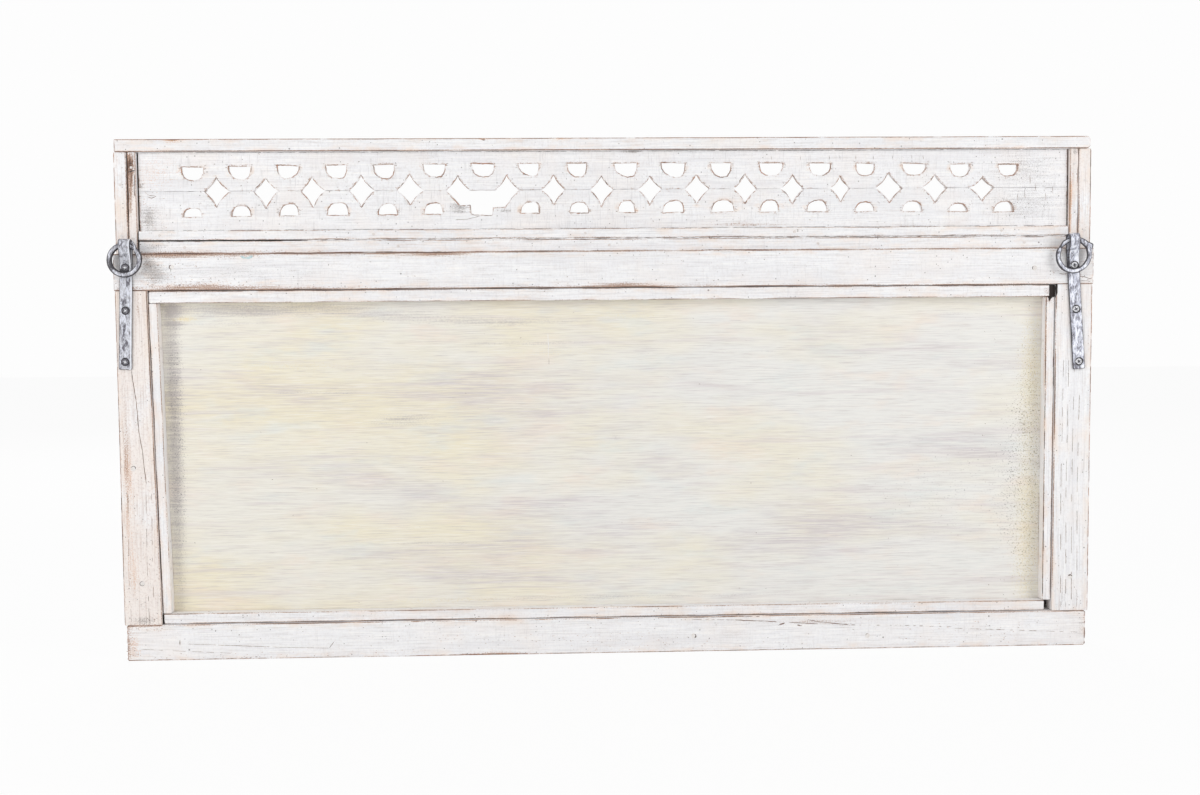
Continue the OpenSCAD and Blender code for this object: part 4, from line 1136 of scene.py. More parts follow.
CRACKS = [
    (Y_RAIL, 0.9, [(-526, 424), (-537, 424.6), (-545, 422.4)]), (Y_RAIL, 0.8, [(-535, 420), (-547, 419)]),
    (Y_RAIL, 0.8, [(-510, 428), (-516, 427.4), (-521, 428.2)]),
    (Y_RAIL, 0.9, [(533, 328), (532, 317), (529, 294), (527, 261), (523, 233), (522, 217), (520, 200)]),
    (Y_RAIL, 1.0, [(488, 23.5), (488, 17)]), (Y_RAIL, 0.8, [(321, 11), (315, 19)]),
    (Y_RAIL, 1.2, [(-212, 28.5), (-218, 28)]), (Y_RAIL, 1.0, [(-542, 421), (-546, 422), (-549, 423)]),
    (Y_RAIL, 1.0, [(-140, 35.9), (-165, 34.4), (-189, 33.2)]),
    (Y_RAIL, 1.6, [(-191, 29.6), (-194, 30.2), (-198, 31.6)]), (Y_RAIL, 1.5, [(-212, 29), (-215, 28.9)]),
    (Y_RAIL, 1.0, [(-224, 35), (-238, 31.8), (-272, 28.3)]), (Y_RAIL, 0.8, [(-202, 32), (-236, 29.8)]),
    (Y_RAIL, 1.2, [(-421, 28), (-423, 28)]), (Y_FRET, 0.8, [(514, 520.5), (509, 519), (504, 521)]),
    (Y_FRET, 0.7, [(513, 522), (504, 521.3)]), (Y_FRET, 0.9, [(524, 538), (519.5, 538)]),
    (Y_CAP, 1.4, [(142, 581.5), (137, 581)]), (Y_CAP, 1.2, [(482, 582), (480, 581.8)]),
    (Y_FRET, 0.6, [(173, 493), (160, 493.5), (145, 497)]), (Y_PLY, 0.5, [(69, 336), (69, 329)])]
NAIL_HOLES = [
    (410, 532), (303, 530), (439, 556), (279, 558), (125, 503.5), (119, 502), (111, 502.5), (-364, 490)]
SAW_NICKS = (-184, -217, -250, -262, -280, -300, -322, -344, -357)
SCRAPES = [(-459, 516), (-466, 520), (-474, 524), (-486, 532), (-498, 520), (-506, 528), (-480, 540)]
CRACKS += [(Y_FRET, 1.4, [(x + 0.9, z), (x - 0.9, z + 0.3)]) for x, z in NAIL_HOLES]
CRACKS += [(Y_FRET, 0.55, [(x, 563), (x - 0.4, 558)]) for x in SAW_NICKS]
CRACKS += [(Y_FRET, 0.5, [(x, z), (x - 0.6, z - 10)]) for x, z in SCRAPES]
CRACKS += together(
    dashes,
    (Y_RAIL, 0.6, [(480, 18.5), (421, 15.5), (363, 12.5), (318, 11)], 50, 1.6, "rail crack"),
    (Y_RAIL, 0.5, [(533, 13.5), (479, 10), (427, 7)], 12, 6, "lower rail crack"),
    (Y_RAIL, 0.7, [(318, 25), (241, 23), (196, 20), (105, 16), (14, 15), (-89, 17)], 2.4, 9, "pecks"),
    (Y_RAIL, 0.6, [(-91, 37.4), (-140, 35.9)], 9, 2, "left of the cracks"),
    (Y_RAIL, 0.8, [(-274, 28), (-330, 26.5), (-391, 24)], 5, 6, "right pecks"),
    (Y_RAIL, 0.5, [(-394, 22), (-459, 19), (-544, 15)], 8, 6, "right end pecks"),
    (Y_RAIL, 0.9, [(420, 2), (396, 2.6)], 3, 3, "foot pecks"),
    (Y_RAIL, 0.9, [(-92, 39.6), (-169, 39.6)], 14, 2, "foot joint"))

# the broken filler beside the fretwork
CRACKS += [
    (Y_STRIP, 1.5, [(533.2, 564), (533.0, 545), (532.8, 526), (533.2, 512)]),
    (Y_STRIP, 1.3, [(528.2, 548), (529.5, 538), (530.4, 531)]), (Y_STRIP, 0.9, [(527.5, 567), (527.0, 551)]),
    (Y_STRIP, 1.0, [(525.6, 545), (526.6, 530), (525.8, 520)]), (Y_STRIP, 1.2, [(531.0, 562), (530.4, 550)])]
for x in (-517, -523, -529.5, -536):
    CRACKS += dashes(Y_RAIL, 0.55, [(x, 330), (x + 1.2, 180), (x - 0.5, 44)], 22, 16, f"stile grain {x}")
for x in (515, 521, 541):
    CRACKS += dashes(Y_RAIL, 0.55, [(x, 190), (x + 1, 110), (x + 0.4, 44)], 16, 16, f"stile grain {x}")
CRACKS += together(
    pits,
    (Y_RAIL, 509, 545, 44, 230, 60, 0.2, "stile pits"),
    (Y_RAIL, 511, 545, 42, 50, 12, 0.8, "stile foot pits"),
    (Y_RAIL, -545, -509, 44, 410, 40, 0.2, "right stile pits"),
    (Y_RAIL, -540, 540, 3, 38, 120, 0.8, "bottom pits"),
    (Y_RAIL, -540, 520, 418, 455, 60, 0.8, "middle pits"),
    (Y_RAIL, 495, 520, 420, 455, 30, 0.5, "hanger pits"),
    (Y_FRET, -515, 515, 484, 496, 50, 0.6, "fret foot pits"),
    (Y_FRET, -515, 515, 558, 567, 36, 0.6, "fret head pits"),
    (Y_PLY, -494, -430, 56, 398, 110, 0.5, "panel end pits"),
    (Y_PLY, -430, 490, 56, 398, 60, 0.9, "panel pits"))

# dark crescents of painted shade in the gap round the pegs: middle, radius, width, start and end in degrees
PEG_MARKS = [
    (486, 442, 2.3, 1.3, -100, 75), (-482, 434.5, 2.3, 1.1, -45, 50), (528, 88.1, 2.5, 0.7, -160, 120),
    (-528, 80.6, 1.7, 1.9, 5, 175), (534, 218.3, 2.4, 0.8, 20, 200), (-93.5, 18.3, 2.1, 1.6, 110, 255),
    (-293.7, 15.4, 2.5, 0.5, 0, 90)]
crescents = [(Y_PEG, width, arc(x, z, reach, start, end, 14)) for x, z, reach, width, start, end in PEG_MARKS]


def hole_marks(halves, lines):
    """Broken brown lines around the holes of the fretwork, and dark saw ticks beside the corners."""
    rng = seeded("hole marks")
    edges, ticks = [], []
    for loop, z_flat, toward in halves:
        turned = np.array(loop)[::-1] if area(loop) > 0 else np.array(loop)
        n = len(turned)
        for _ in range(rng.integers(3, 6)):
            start, length = rng.integers(0, n), rng.integers(n // 10, n // 3)
            ring = offset(turned, np.full(n, rng.uniform(0.35, 1.0)))
            path = [tuple(ring[(start + k) % n]) for k in range(length)]
            (edges if rng.random() < 0.7 else ticks).append((Y_FRET, rng.uniform(0.45, 0.95), path))
        for x, way in ((turned[:, 0].min(), -1), (turned[:, 0].max(), 1)):
            for k in range(rng.integers(1, 5)):
                z = z_flat + toward * (k * 1.6 + rng.uniform(-0.6, 0.8))
                x0 = x + way * rng.uniform(0.2, 1.2)
                width = rng.uniform(0.6, 1.1)
                ticks.append((Y_FRET, width, [(x0, z), (x0 + way * rng.uniform(1.4, 3.0), z + 0.2)]))
    for line, rise in lines:
        line = np.array(line)
        ahead = np.gradient(line, axis=0)
        ahead /= np.maximum(np.hypot(*ahead.T), TINY)[:, None]
        out_of_hole = np.stack([-ahead[:, 1], ahead[:, 0]], 1)
        out_of_hole *= np.where(out_of_hole[:, 1:] * rise < 0, -1, 1)
        open_here = np.abs(line[:, 1] - Z_JOINT) > 1.0
        i = 0
        while i < len(line) - 4:
            length = rng.integers(4, 15)
            if open_here[i:i + length].all():
                away = rng.uniform(0.3, 1.3)
                path = line[i:i + length] + out_of_hole[i:i + length] * away
                (edges if rng.random() < 0.6 else ticks).append(
                    (Y_FRET, rng.uniform(0.45, 1.0), [tuple(p) for p in path]))
            i += length + rng.integers(0, 5)
    for k in range(FRET_COUNT - 1):
        middle = (fret_x(k) + fret_x(k + 1)) / 2
        for _ in range(rng.integers(4, 12)):
            px, pz = rng.uniform(4, 22), rng.uniform(-20, 18)
            beside_diamond = px / 15 + abs(pz) / 19 > 1.15
            if beside_diamond and k not in (BROKEN - 1, BROKEN):
                spot = (middle + px, Z_JOINT + pz)
                to = (spot[0] - rng.uniform(0.3, 1.6), spot[1] - rng.uniform(0, 1.6))
                if inside(np.array([spot, to]), wood_loops).all():
                    ticks.append((Y_FRET, rng.uniform(0.6, 1.2), [spot, to]))
    return edges, ticks


def on_wood(lines):
    """Leaves out the lines on the fretwork that cross one of its openings."""
    return [line for line in lines if line[0] != Y_FRET or inside(np.array(line[2]), wood_loops).mean() > 0.9]


wood_loops = [[(-530, 471), (530, 471), (530, 573), (-530, 573)]] + upper_holes + lower_holes
HALVES = [(loop, Z_FLAT_HIGH, -1) for loop in upper_holes] + [(loop, Z_FLAT_LOW, 1) for loop in lower_holes]
edge_lines, edge_ticks = hole_marks(HALVES, ((upper_line, 1), (lower_line, -1)))
strokes("hole-edges", edge_wood, on_wood(edge_lines), wander=0.6)
strokes("hole-ticks", crack_wood, on_wood(edge_ticks), wander=0.6)
# painted shade in the hole at the top bead's corner, on the stile's corner and at the foot bead's end
CUT_OUTS = [
    ("bead-corner-gap", 19.4, 12, [(-500.7, 415.6), (-506.9, 415.6), (-506.9, 402.2), (-500.7, 402.2)]),
    ("bead-corner-splinter", Y_BEAD + 0.04, 1,
     [(-498.6, 401.8), (-504.6, 401.8), (-502.0, 399.6), (-500.4, 396.6)]),
    ("stile-corner-dark", Y_RAIL + 0.04, 1,
     [(-506.6, 415.9), (-508.9, 415.9), (-508.7, 406), (-506.6, 400.5)]),
    ("foot-gap", Y_BEAD + 0.06, 12, [(504.7, 41.4), (507.7, 41.4), (507.4, 51.8), (505.3, 52.4)])]
for row in CUT_OUTS:
    cut_out(*row)
strokes("dark-gaps", shade_in_gaps, GAPS, depth=2.5)
strokes("cracks-and-pits", crack_wood, on_wood(CRACKS))
strokes("peg-crescents", peg_shadow, crescents, wander=0.1)
EDGE_LINES = together(
    dashes,
    (Y_RAIL, 1.0, [(546.0, 1.5), (546.0, 39.5)], 7, 2, "foot end"),
    (Y_RAIL, 0.8, [(545, 0.9), (390, 0.9)], 14, 5, "foot edge"),
    (Y_RAIL, 1.2, [(222, 0.9), (96, 0.9)], 24, 2, "foot edge worn"),
    (Y_RAIL, 0.7, [(90, 0.8), (-545, 0.8)], 12, 12, "foot edge far"),
    (Y_RAIL, 0.9, [(-546.0, 1.5), (-546.0, 39.5)], 9, 3, "foot end far"),
    (Y_RAIL, 0.7, [(549.4, 418), (549.4, 455)], 9, 3, "rail end"),
    (Y_RAIL, 0.7, [(-549.4, 418), (-549.4, 455)], 9, 3, "rail end far"),
    (Y_RAIL, 0.7, [(548.4, 43), (548.4, 414)], 24, 6, "stile edge"),
    (Y_RAIL, 0.8, [(-548.4, 43), (-548.4, 414)], 24, 6, "stile edge far"),
    (Y_POST, 0.8, [(547.9, 459), (547.9, 568)], 30, 3, "post edge"),
    (Y_POST, 0.8, [(-547.9, 459), (-547.9, 568)], 30, 3, "post edge far"),
    (Y_CAP, 0.9, [(546.8, 570.2), (546.8, 582.6)], 8, 1, "cap end"),
    (Y_CAP, 0.7, [(546, 582.7), (-546, 582.7)], 22, 9, "cap edge"),
    (Y_RAIL, 1.1, [(509, 41.4), (548, 41.4)], 2.2, 2.4, "stile foot"))
strokes("worn-edge-lines", edge_wood, EDGE_LINES, wander=0.2)

# grains of bare wood showing in bands along the rubbed edges: face, band in X and in Z, count
GRAIN_BANDS = [
    (Y_RAIL, 380, 545, 417, 422, 150), (Y_RAIL, 420, 520, 421, 426, 50),
    (Y_RAIL, 385, 530, 452, 456.4, 110), (Y_RAIL, 180, 380, 417, 419.5, 50),
    (Y_STRIP, 300, 520, 457.6, 460.5, 70), (Y_RAIL, 538, 546, 2, 39, 60), (Y_RAIL, 505, 545, 33, 40, 40),
    (Y_RAIL, 455, 520, 424, 450, 60), (Y_FRET, 490, 520, 484, 530, 60), (Y_RAIL, -60, 200, 13, 24, 60),
    (Y_RAIL, -470, -330, 3, 30, 70), (Y_RAIL, 200, 540, 2, 8, 60), (Y_RAIL, -546, -500, 422, 454, 50),
    (Y_RAIL, -120, 60, 3, 12, 40)]
grains = together(pits, *((*band, 0.9, f"grains {k}") for k, band in enumerate(GRAIN_BANDS)))
LEDGE_LINE = dashes(13.15, 0.7, [(338, 471.6), (-518, 471.6)], 18, 4, "ledge line")
PAINT_CHIP = [(Y_RAIL, 3.4, [(410, 453.6), (405, 451.5), (401, 451.5), (396, 453.8)])]
strokes("bare-grains", grain_wood, on_wood(grains), wander=0.1)
strokes("panel-scratch", white_x, [(Y_PLY, 0.6, [(70, 365), (69.4, 352), (69.8, 337)])], wander=0.2)
strokes("ledge-gap-putty", white_x, [(13.1, 1.9, [(338, 471.3), (-520, 471.3)])], depth=3.5, wander=0.1)
strokes("ledge-gap-line", crack_wood, LEDGE_LINE)
strokes("paint-chip", old_paint, PAINT_CHIP, depth=0.4)


STRAP_W, STRAP_T = 14.4, 2.4
EYE_R = 4.5
EYE_OUT = EYE_R + STRAP_T
LEAF_Y = 3.8
LEAF_SLOPE = math.radians(26)
RING_BAR = 6.2
BACK_LEAF_STEP, FRONT_LEAF_STEP, EYE_POINTS = 1.6, 1.5, 26
STRAP_DENT, RING_DENT = 0.42, 0.07
RING_POINTS, RING_SIDES, SPUR_SIDES = 150, 24, 12
# how far the last sections of a bar are drawn in
END_SHRINK = (0.55, 0.85, 0.96)
# half the outline of a strap's upper face, from its edge to its middle, in widths and thicknesses
HALF_ACROSS = [0.5, 0.49, 0.46, 0.4, 0.3, 0.2, 0.1, 0.0]
HALF_RISE = [0.1, 0.34, 0.46, 0.5, 0.5, 0.5, 0.5, 0.5]
# parts of the strap's half width beyond which its edge is worn and very worn, and the reach of the painted
# highlight along the bevelled edge
EDGE_WORN, EDGE_BARE = 0.43, 0.47
HIGHLIGHT_FROM, HIGHLIGHT_TO = 0.36, 0.465


class Hanger:
    """A hanger's own frame: X along the axis of its eye, Y out of the back, Z up its strap."""

    def __init__(self, side):
        joint = next(j for j in frame["joints"] if j["name"] == f"ring_{side}_swing")
        ax, _, az = joint["axis"]
        self.x, self.z = np.array([ax, 0, az]), np.array([-az, 0, ax])
        self.eye = np.array(joint["pos_m"]) / MM
        self.side = side

    def place(self, xyz):
        """Points measured from the middle of the eye, in the row frame."""
        xyz = np.asarray(xyz, float)
        return self.eye + xyz[:, :1] * self.x + xyz[:, 1:2] * np.array([0, 1.0, 0]) + xyz[:, 2:] * self.z


def sweep(path, normals, outline, widths):
    """Rows of points: the outline (across, out) is set at each point of a path in Y and Z."""
    rows = []
    for (y, z), (ny, nz), w in zip(path, normals, widths):
        rows.append([(a * w, y + ny * n, z + nz * n) for a, n in outline])
    return np.array(rows)


def strap_path(length, leaf_end):
    """Middle line of a folded strap in Y and Z: up its back leaf, round the eye, down its front leaf."""
    back_y = -EYE_OUT + STRAP_T / 2
    front_y = -EYE_OUT + LEAF_Y
    mid_r = EYE_R + STRAP_T / 2
    path = [(back_y, z) for z in np.arange(-length, -1.0, BACK_LEAF_STEP)]
    turns = np.linspace(math.pi, -LEAF_SLOPE, EYE_POINTS)
    path += [(mid_r * math.cos(t), mid_r * math.sin(t)) for t in turns]
    run = (mid_r * math.cos(LEAF_SLOPE) - front_y) / math.sin(LEAF_SLOPE)
    end = (front_y, -mid_r * math.sin(LEAF_SLOPE) - run * math.cos(LEAF_SLOPE))
    start, end = np.array(path[-1]), np.array(end)
    path += [tuple(start + (end - start) * t) for t in np.linspace(0, 1, 9)[1:]]
    path += [(front_y, z) for z in np.arange(end[1] - FRONT_LEAF_STEP, -leaf_end - 0.1, -FRONT_LEAF_STEP)]
    return np.array(path)


def strap(side, length, leaf_end, narrow, material, painted_bevel_highlight=False):
    """A strap folded around its ring, hammered, with both leaves of the fold."""
    hanger = Hanger(side)
    rng = seeded("strap" + side)
    path = strap_path(length, leaf_end)
    ahead = np.gradient(path, axis=0)
    ahead /= np.hypot(*ahead.T)[:, None]
    normals = np.stack([-ahead[:, 1], ahead[:, 0]], 1)
    travel = np.r_[0, np.cumsum(np.hypot(*np.diff(path, axis=0).T))]
    top = list(zip(HALF_ACROSS + [-v for v in HALF_ACROSS[-2::-1]], HALF_RISE + HALF_RISE[-2::-1]))
    outline = [(x * STRAP_W, n * STRAP_T) for x, n in top + [(x, -n) for x, n in top[::-1]]]
    along_front = np.clip((travel - length) / 14, 0, 1)
    width = 1 - narrow * along_front + 0.018 * smooth_line(rng, travel, 9) - 0.018
    ends = np.minimum(1, np.minimum(travel, travel[-1] - travel) / 1.2 * 0.12 + 0.9)
    rows = sweep(path, normals, outline, width * ends)
    u = np.array([x for x, n in outline])
    dents = np.clip(smooth_field(rng, travel, np.arange(len(outline)) * 1.2, 6.5, 5.5), 0, 1) * STRAP_DENT
    sign = np.array([1 if n > 0 else -1 for x, n in outline])
    flat = np.array([1.0 if abs(n) > 1.1 else 0.4 for x, n in outline])
    shift = -dents * sign * flat
    rows[:, :, 1] += normals[:, :1] * shift
    rows[:, :, 2] += normals[:, 1:] * shift
    count = len(outline)
    part = np.abs(u) / STRAP_W
    wear = np.zeros((len(path), count))
    wear += np.where(part > EDGE_BARE, 1.0, np.where(part > EDGE_WORN, 0.6, 0.0))
    wear += np.clip(smooth_field(rng, travel, np.arange(count) * 1.0, 12, 9), 0, 1) * 0.3
    at_fold = 0.34 * np.exp(-((travel - length - 9) / 9) ** 2)
    at_end = 0.8 * np.exp(-((travel - travel[-1]) / 2) ** 2)
    wear += (at_fold + at_end)[:, None]
    wear[:1], wear[-3:] = 0.8, 0.9
    painted_highlight = np.zeros((len(path), count))
    # a painted highlight along one bevelled edge, put in the near mark, with no wear under it
    if painted_bevel_highlight:
        painted_highlight[:, (u < -HIGHLIGHT_FROM * STRAP_W) & (u > -EDGE_BARE * STRAP_W)] = 0.9
        wear[:, (u < -HIGHLIGHT_FROM * STRAP_W) & (u > -HIGHLIGHT_TO * STRAP_W)] = 0
    points = hanger.place(rows.reshape(-1, 3))
    faces = tube_faces(len(path), count, capped=True)
    make(f"hanger-strap-{side}-forged", points, faces, material, (f"hanger_strap_{side}",),
         marks={"wear": wear.ravel(), "near": painted_highlight.ravel()}, sharp=50)


strap("right", 137.5, 30.0, 0.1, iron_right, painted_bevel_highlight=True)
strap("left", 147.0, 34.5, 0.14, iron_left)


def ring(side, outer, tilt, start, turn, shape, material, aside=0.0, sag_more=0.0):
    """A bent bar hanging in its eye, with angles in degrees.

    shape(angle, two lumps) gives the bar's shift outwards from the ring's middle, its half sizes
    along the ring's radius and across it, its shift out of the ring's plane, and the painted shade
    laid on the bar there.
    """
    hanger = Hanger(side)
    rng = seeded("ring" + side)
    bend_r = (outer - RING_BAR) / 2
    sag = bend_r - math.sqrt(bend_r ** 2 - (STRAP_W / 2) ** 2)
    drop = bend_r - sag / 2 + sag_more
    turns = np.radians(np.linspace(start, start + turn, RING_POINTS))
    lumps = smooth_line(rng, turns * bend_r, 5.0), smooth_line(rng, turns * bend_r, 8.0)
    rows, dark = [], []
    around = np.linspace(0, 2 * math.pi, RING_SIDES + 1)[:-1]
    for k, t in enumerate(turns):
        radial, half_r, half_y, out, shade = shape(math.degrees(t), lumps[0][k], lumps[1][k])
        ux, uz = math.sin(t), math.cos(t)
        reach = bend_r + radial + half_r * np.cos(around)
        rows.append(np.stack([ux * reach + aside * (1 - uz) / 2, out + half_y * np.sin(around),
                              uz * reach - drop], 1))
        # painted shade: darker along both sides of the bar, and on its inner side towards +X
        rim = np.clip((np.abs(np.cos(around)) - 0.4) / 0.35, 0, 1)
        inner = np.clip(-np.cos(around), 0, 1) * max(0.0, ux) * 0.4
        dark.append(rim + inner + shade)
    rows = np.array(rows)
    count = len(around)
    dents = np.clip(smooth_field(rng, turns * bend_r, np.arange(count) * 1.0, 4.0, 3.0), 0, 1)
    middle = rows.mean(1, keepdims=True)
    rows = middle + (rows - middle) * (1 - RING_DENT * dents)[:, :, None]
    for j, shrink in enumerate(END_SHRINK):
        for k in (j, -1 - j):
            rows[k] = middle[k] + (rows[k] - middle[k]) * shrink
    c, s = math.cos(math.radians(tilt)), math.sin(math.radians(tilt))
    xyz = rows.reshape(-1, 3)
    xyz = np.stack([xyz[:, 0], xyz[:, 1] * c - xyz[:, 2] * s, xyz[:, 1] * s + xyz[:, 2] * c], 1)
    faces = tube_faces(len(turns), count, capped=True)
    # the ring's wear mark is this painted shade, with some random spread
    wear = np.array(dark) + smooth_field(rng, turns * bend_r, np.arange(count) * 1.0, 7, 5) * 0.22
    rust = np.clip(smooth_field(rng, turns * bend_r, np.arange(count) * 1.0, 9, 6), 0, 1) * 0.8
    rust *= np.clip(-np.sin(turns), 0, 1)[:, None]
    make(f"hanger-ring-{side}-forged", hanger.place(xyz), faces, material,
         (f"hanger_ring_{side}",), body=f"ring_{side}",
         marks={"wear": np.clip(wear, 0, 1.1).ravel(), "bare": rust.ravel()}, sharp=60)


def smooth_ring(angle, a, b):
    """Even round bar; its two ends meet beside the strap. The last value is painted shade, low on the +X
    side.
    """
    low_left = math.exp(-((angle % 360 - 112) / 26) ** 2)
    return 0.0, 3.05 - 0.1 * abs(a), 3.0 - 0.1 * abs(b), 0.0, 0.8 * low_left


def lumpy_ring(angle, a, b):
    """Hammered bar drawn out to a flat corner at one side, and thinner where its end laps behind."""
    corner = math.exp(-((angle + 65) / 10) ** 2)
    flank = math.exp(-((angle + 62) / 34) ** 2)
    lap = math.exp(-((angle - 58) / 15) ** 2) if angle > 0 else 0.0
    cut_end = math.exp(-((angle + 300) / 11) ** 2)
    half_r = 2.75 - 0.25 * a + 0.8 * flank + 1.5 * corner - 0.8 * lap
    half_y = 2.7 - 0.25 * b - 0.8 * flank - 1.1 * lap - 0.5 * cut_end
    # the last value is painted shade where the end laps behind
    return 1.9 * corner - 0.7 * lap, half_r, half_y, 1.1 * cut_end - 2.3 * lap, 0.6 * lap


def spur(side, points, radii, material):
    """A drawn-out bar end that stands beside the strap, given in the hanger's own frame."""
    hanger = Hanger(side)
    path = np.array(points, float)
    fine = np.linspace(0, len(path) - 1, 16)
    path = np.stack([np.interp(fine, range(len(path)), path[:, k]) for k in range(3)], 1)
    size = np.interp(fine, range(len(radii)), radii)
    turn = np.linspace(0, 2 * math.pi, SPUR_SIDES + 1)[:-1]
    rows, dark = [], []
    for (x, y, z), r in zip(path, size):
        rows.append(np.stack([x + r * np.cos(turn), y + 0.8 * r * np.sin(turn), z + 0 * turn], 1))
        # painted shade along the sides of the bar, put in the wear mark
        dark.append(np.clip((np.abs(np.cos(turn)) - 0.45) / 0.4, 0, 1) * 0.9)
    xyz = np.concatenate(rows)
    faces = tube_faces(len(path), SPUR_SIDES, capped=True)
    face_outwards(make(f"hanger-ring-{side}-spur", hanger.place(xyz), faces, material, (),
                       body=f"ring_{side}", marks={"wear": np.concatenate(dark)}, sharp=60))


ring("right", 39.0, 2.54, -38, 352, smooth_ring, iron_right, aside=0.4, sag_more=0.7)
ring("left", 42.0, 2.78, -300, 361, lumpy_ring, iron_left, aside=2.2, sag_more=0.6)
SPUR = [(-10.6, 0.0, -5.5), (-10.4, 0.0, -2.6), (-9.4, 0.2, 1.0), (-8.2, 0.3, 4.8)]
spur("right", SPUR, (2.4, 2.6, 1.9, 0.5), iron_right)

# the heads of the strap screws: side, middle, face of the strap below the head, turn of the cross
HEADS = [
    ("left", -533.67, 328.24, 24.4, 35), ("left", -529.5, 387.78, 24.4, 45),
    ("left", -526.03, 437.49, 27.0, 8), ("right", 538.9, 337.48, 24.4, 20),
    ("right", 536.92, 394.35, 24.4, 50), ("right", 535.26, 441.83, 27.0, 12)]
TOP_RIGHT_HEAD = 5
HEAD_R = 4.1
RIM_LIFT, CROSS_LIFT = 0.95, 1.15
# width of the rim of painted shade, half length and width of the cross's arms
HEAD_LINES = {"left": (1.7, 2.4, 1.8), "right": (1.4, 2.1, 1.4)}
FAINT_RIM = 0.7
painted_shade_parts, light_parts = [], []
for k, (side, x, z, y, lean) in enumerate(HEADS):
    rim, reach, width = HEAD_LINES[side]
    rim = FAINT_RIM if k == TOP_RIGHT_HEAD else rim
    painted_shade_parts.append((y + RIM_LIFT, rim, arc(x, z, HEAD_R, 0, 352, 30)))
    ax, az = reach * math.cos(math.radians(lean)), reach * math.sin(math.radians(lean))
    for px, pz in ((ax, az), (-az, ax)):
        arm = (y + CROSS_LIFT, width, [(x - px, z - pz), (x, z), (x + px, z + pz)])
        (painted_shade_parts if side == "left" else light_parts).append(arm)
# the dark rims round the heads, and the dark crosses on the left heads, are painted shade
strokes("screw-rims-and-crosses", recess_steel, painted_shade_parts, depth=0.9, wander=0.1)
strokes("screw-crosses-rubbed", screw_bright, light_parts, depth=0.9, wander=0.1)

# the bent nail across the split filler
NAIL = [
    (Y_STRIP + 0.3, 1.5, [(532.6, 547.6), (528.5, 548.4), (524.4, 549.4)]),
    (Y_STRIP + 0.2, 1.2, [(531.8, 556), (528, 557)])]
strokes("filler-nail", recess_steel, NAIL, depth=1.2, wander=0.05)

for node, material in (("hanger_screws_left", screw_bright), ("hanger_screws_right", screw_dark),
                       ("mirror_glass", silver), ("frame_pegs", peg_end), ("bead_pins", pin_steel),
                       ("cap_nails", pin_steel)):
    frame["nodes"][node].data.materials.clear()
    frame["nodes"][node].data.materials.append(material)


FLOOR_REACH = 6.0
FLOOR_COLOUR = (0.9, 0.9, 0.9, 1)
FLOOR_GLOW = 0.92
SKY_LIGHT, BACKDROP_LIGHT = 0.58, 0.983


def backdrop_ray(tree):
    """1 for the rays that show the background: the camera's, and those of metal and glass."""
    path = tree.nodes.new("ShaderNodeLightPath")
    seen = path.outputs["Is Camera Ray"]
    for other in ("Is Glossy Ray", "Is Transmission Ray"):
        add = tree.nodes.new("ShaderNodeMath")
        add.operation = "MAXIMUM"
        tree.links.new(seen, add.inputs[0])
        tree.links.new(path.outputs[other], add.inputs[1])
        seen = add.outputs[0]
    return seen


def blend(tree, share, first, second, out):
    """Mixes two shaders by a share and leads the result to the node of the output."""
    mix = tree.nodes.new("ShaderNodeMixShader")
    for k, source in enumerate((share, first.outputs[0], second.outputs[0])):
        tree.links.new(source, mix.inputs[k])
    tree.links.new(mix.outputs[0], out.inputs["Surface"])


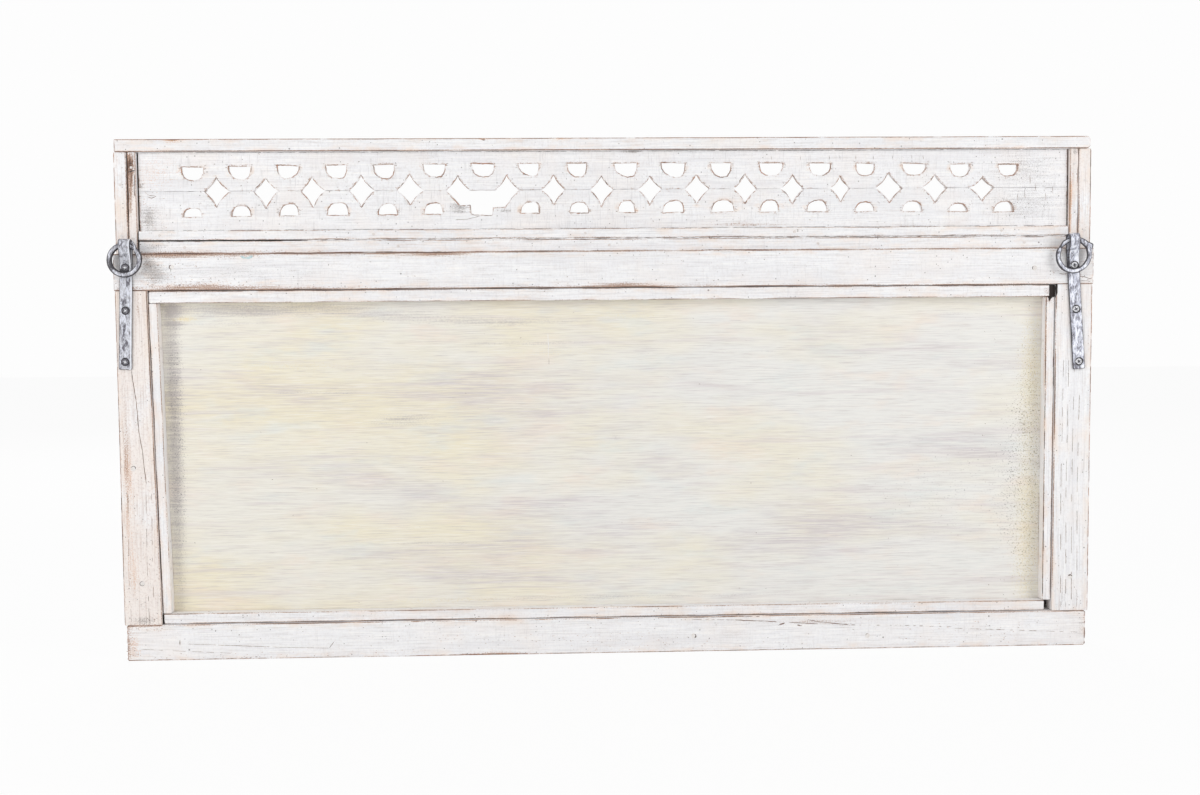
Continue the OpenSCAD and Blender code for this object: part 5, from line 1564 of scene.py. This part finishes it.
def floor():
    """A light floor that catches shadows and, seen directly, glows like the background."""
    mesh = bpy.data.meshes.new("floor")
    r = FLOOR_REACH
    mesh.from_pydata([(-r, -r, 0), (r, -r, 0), (r, r, 0), (-r, r, 0)], [], [(0, 1, 2, 3)])
    material = bpy.data.materials.new("floor")
    material.use_nodes = True
    tree = material.node_tree
    tree.nodes.clear()
    lit = tree.nodes.new("ShaderNodeBsdfDiffuse")
    lit.inputs["Color"].default_value = FLOOR_COLOUR
    glow = tree.nodes.new("ShaderNodeEmission")
    scale = tree.nodes.new("ShaderNodeMath")
    scale.operation = "MULTIPLY"
    scale.inputs[1].default_value = FLOOR_GLOW
    tree.links.new(backdrop_ray(tree), scale.inputs[0])
    blend(tree, scale.outputs[0], lit, glow, tree.nodes.new("ShaderNodeOutputMaterial"))
    mesh.materials.append(material)
    made = bpy.data.objects.new("floor", mesh)
    scene.collection.objects.link(made)


def world():
    """Soft light from all sides, with a near white background behind the object."""
    made = bpy.data.worlds.new("studio")
    made.use_nodes = True
    scene.world = made
    tree = made.node_tree
    tree.nodes.clear()
    backgrounds = []
    for strength in (SKY_LIGHT, BACKDROP_LIGHT):
        background = tree.nodes.new("ShaderNodeBackground")
        background.inputs["Strength"].default_value = strength
        background.inputs["Color"].default_value = (1, 1, 1, 1)
        backgrounds.append(background)
    blend(tree, backdrop_ray(tree), *backgrounds, tree.nodes.new("ShaderNodeOutputWorld"))


def area_light(name, place, aim, size, power):
    light = bpy.data.lights.new(name, "AREA")
    light.shape = "RECTANGLE"
    light.size, light.size_y = size
    light.energy = power
    made = bpy.data.objects.new(name, light)
    scene.collection.objects.link(made)
    made.location = place
    made.rotation_euler = (Vector(aim) - Vector(place)).to_track_quat("-Z", "Y").to_euler()


floor()
world()
# place, aim and size in metres, and power in watts
area_light("soft_light_right", (1.7, 1.5, 0.9), (0.1, 0, 0.3), (1.0, 1.2), 14)
area_light("soft_light_left", (-1.7, 1.5, 0.9), (-0.1, 0, 0.3), (1.0, 1.2), 14)
area_light("front_light", (0.4, -2.4, 1.6), (0, 0, 0.3), (1.6, 1.2), 20)

# the camera of the photo, fitted to its straight edges
CAMERA_PLACE = (0.07877, 1.70721, 0.41123)
CAMERA_TURN = (85.96913, 0.43094, 177.70015)
camera = bpy.data.cameras.new("camera")
camera.lens = 45
camera.sensor_width = 36
eye = bpy.data.objects.new("camera", camera)
scene.collection.objects.link(eye)
eye.location = CAMERA_PLACE
eye.rotation_euler = [math.radians(v) for v in CAMERA_TURN]
scene.camera = eye
scene.view_settings.view_transform = "Standard"
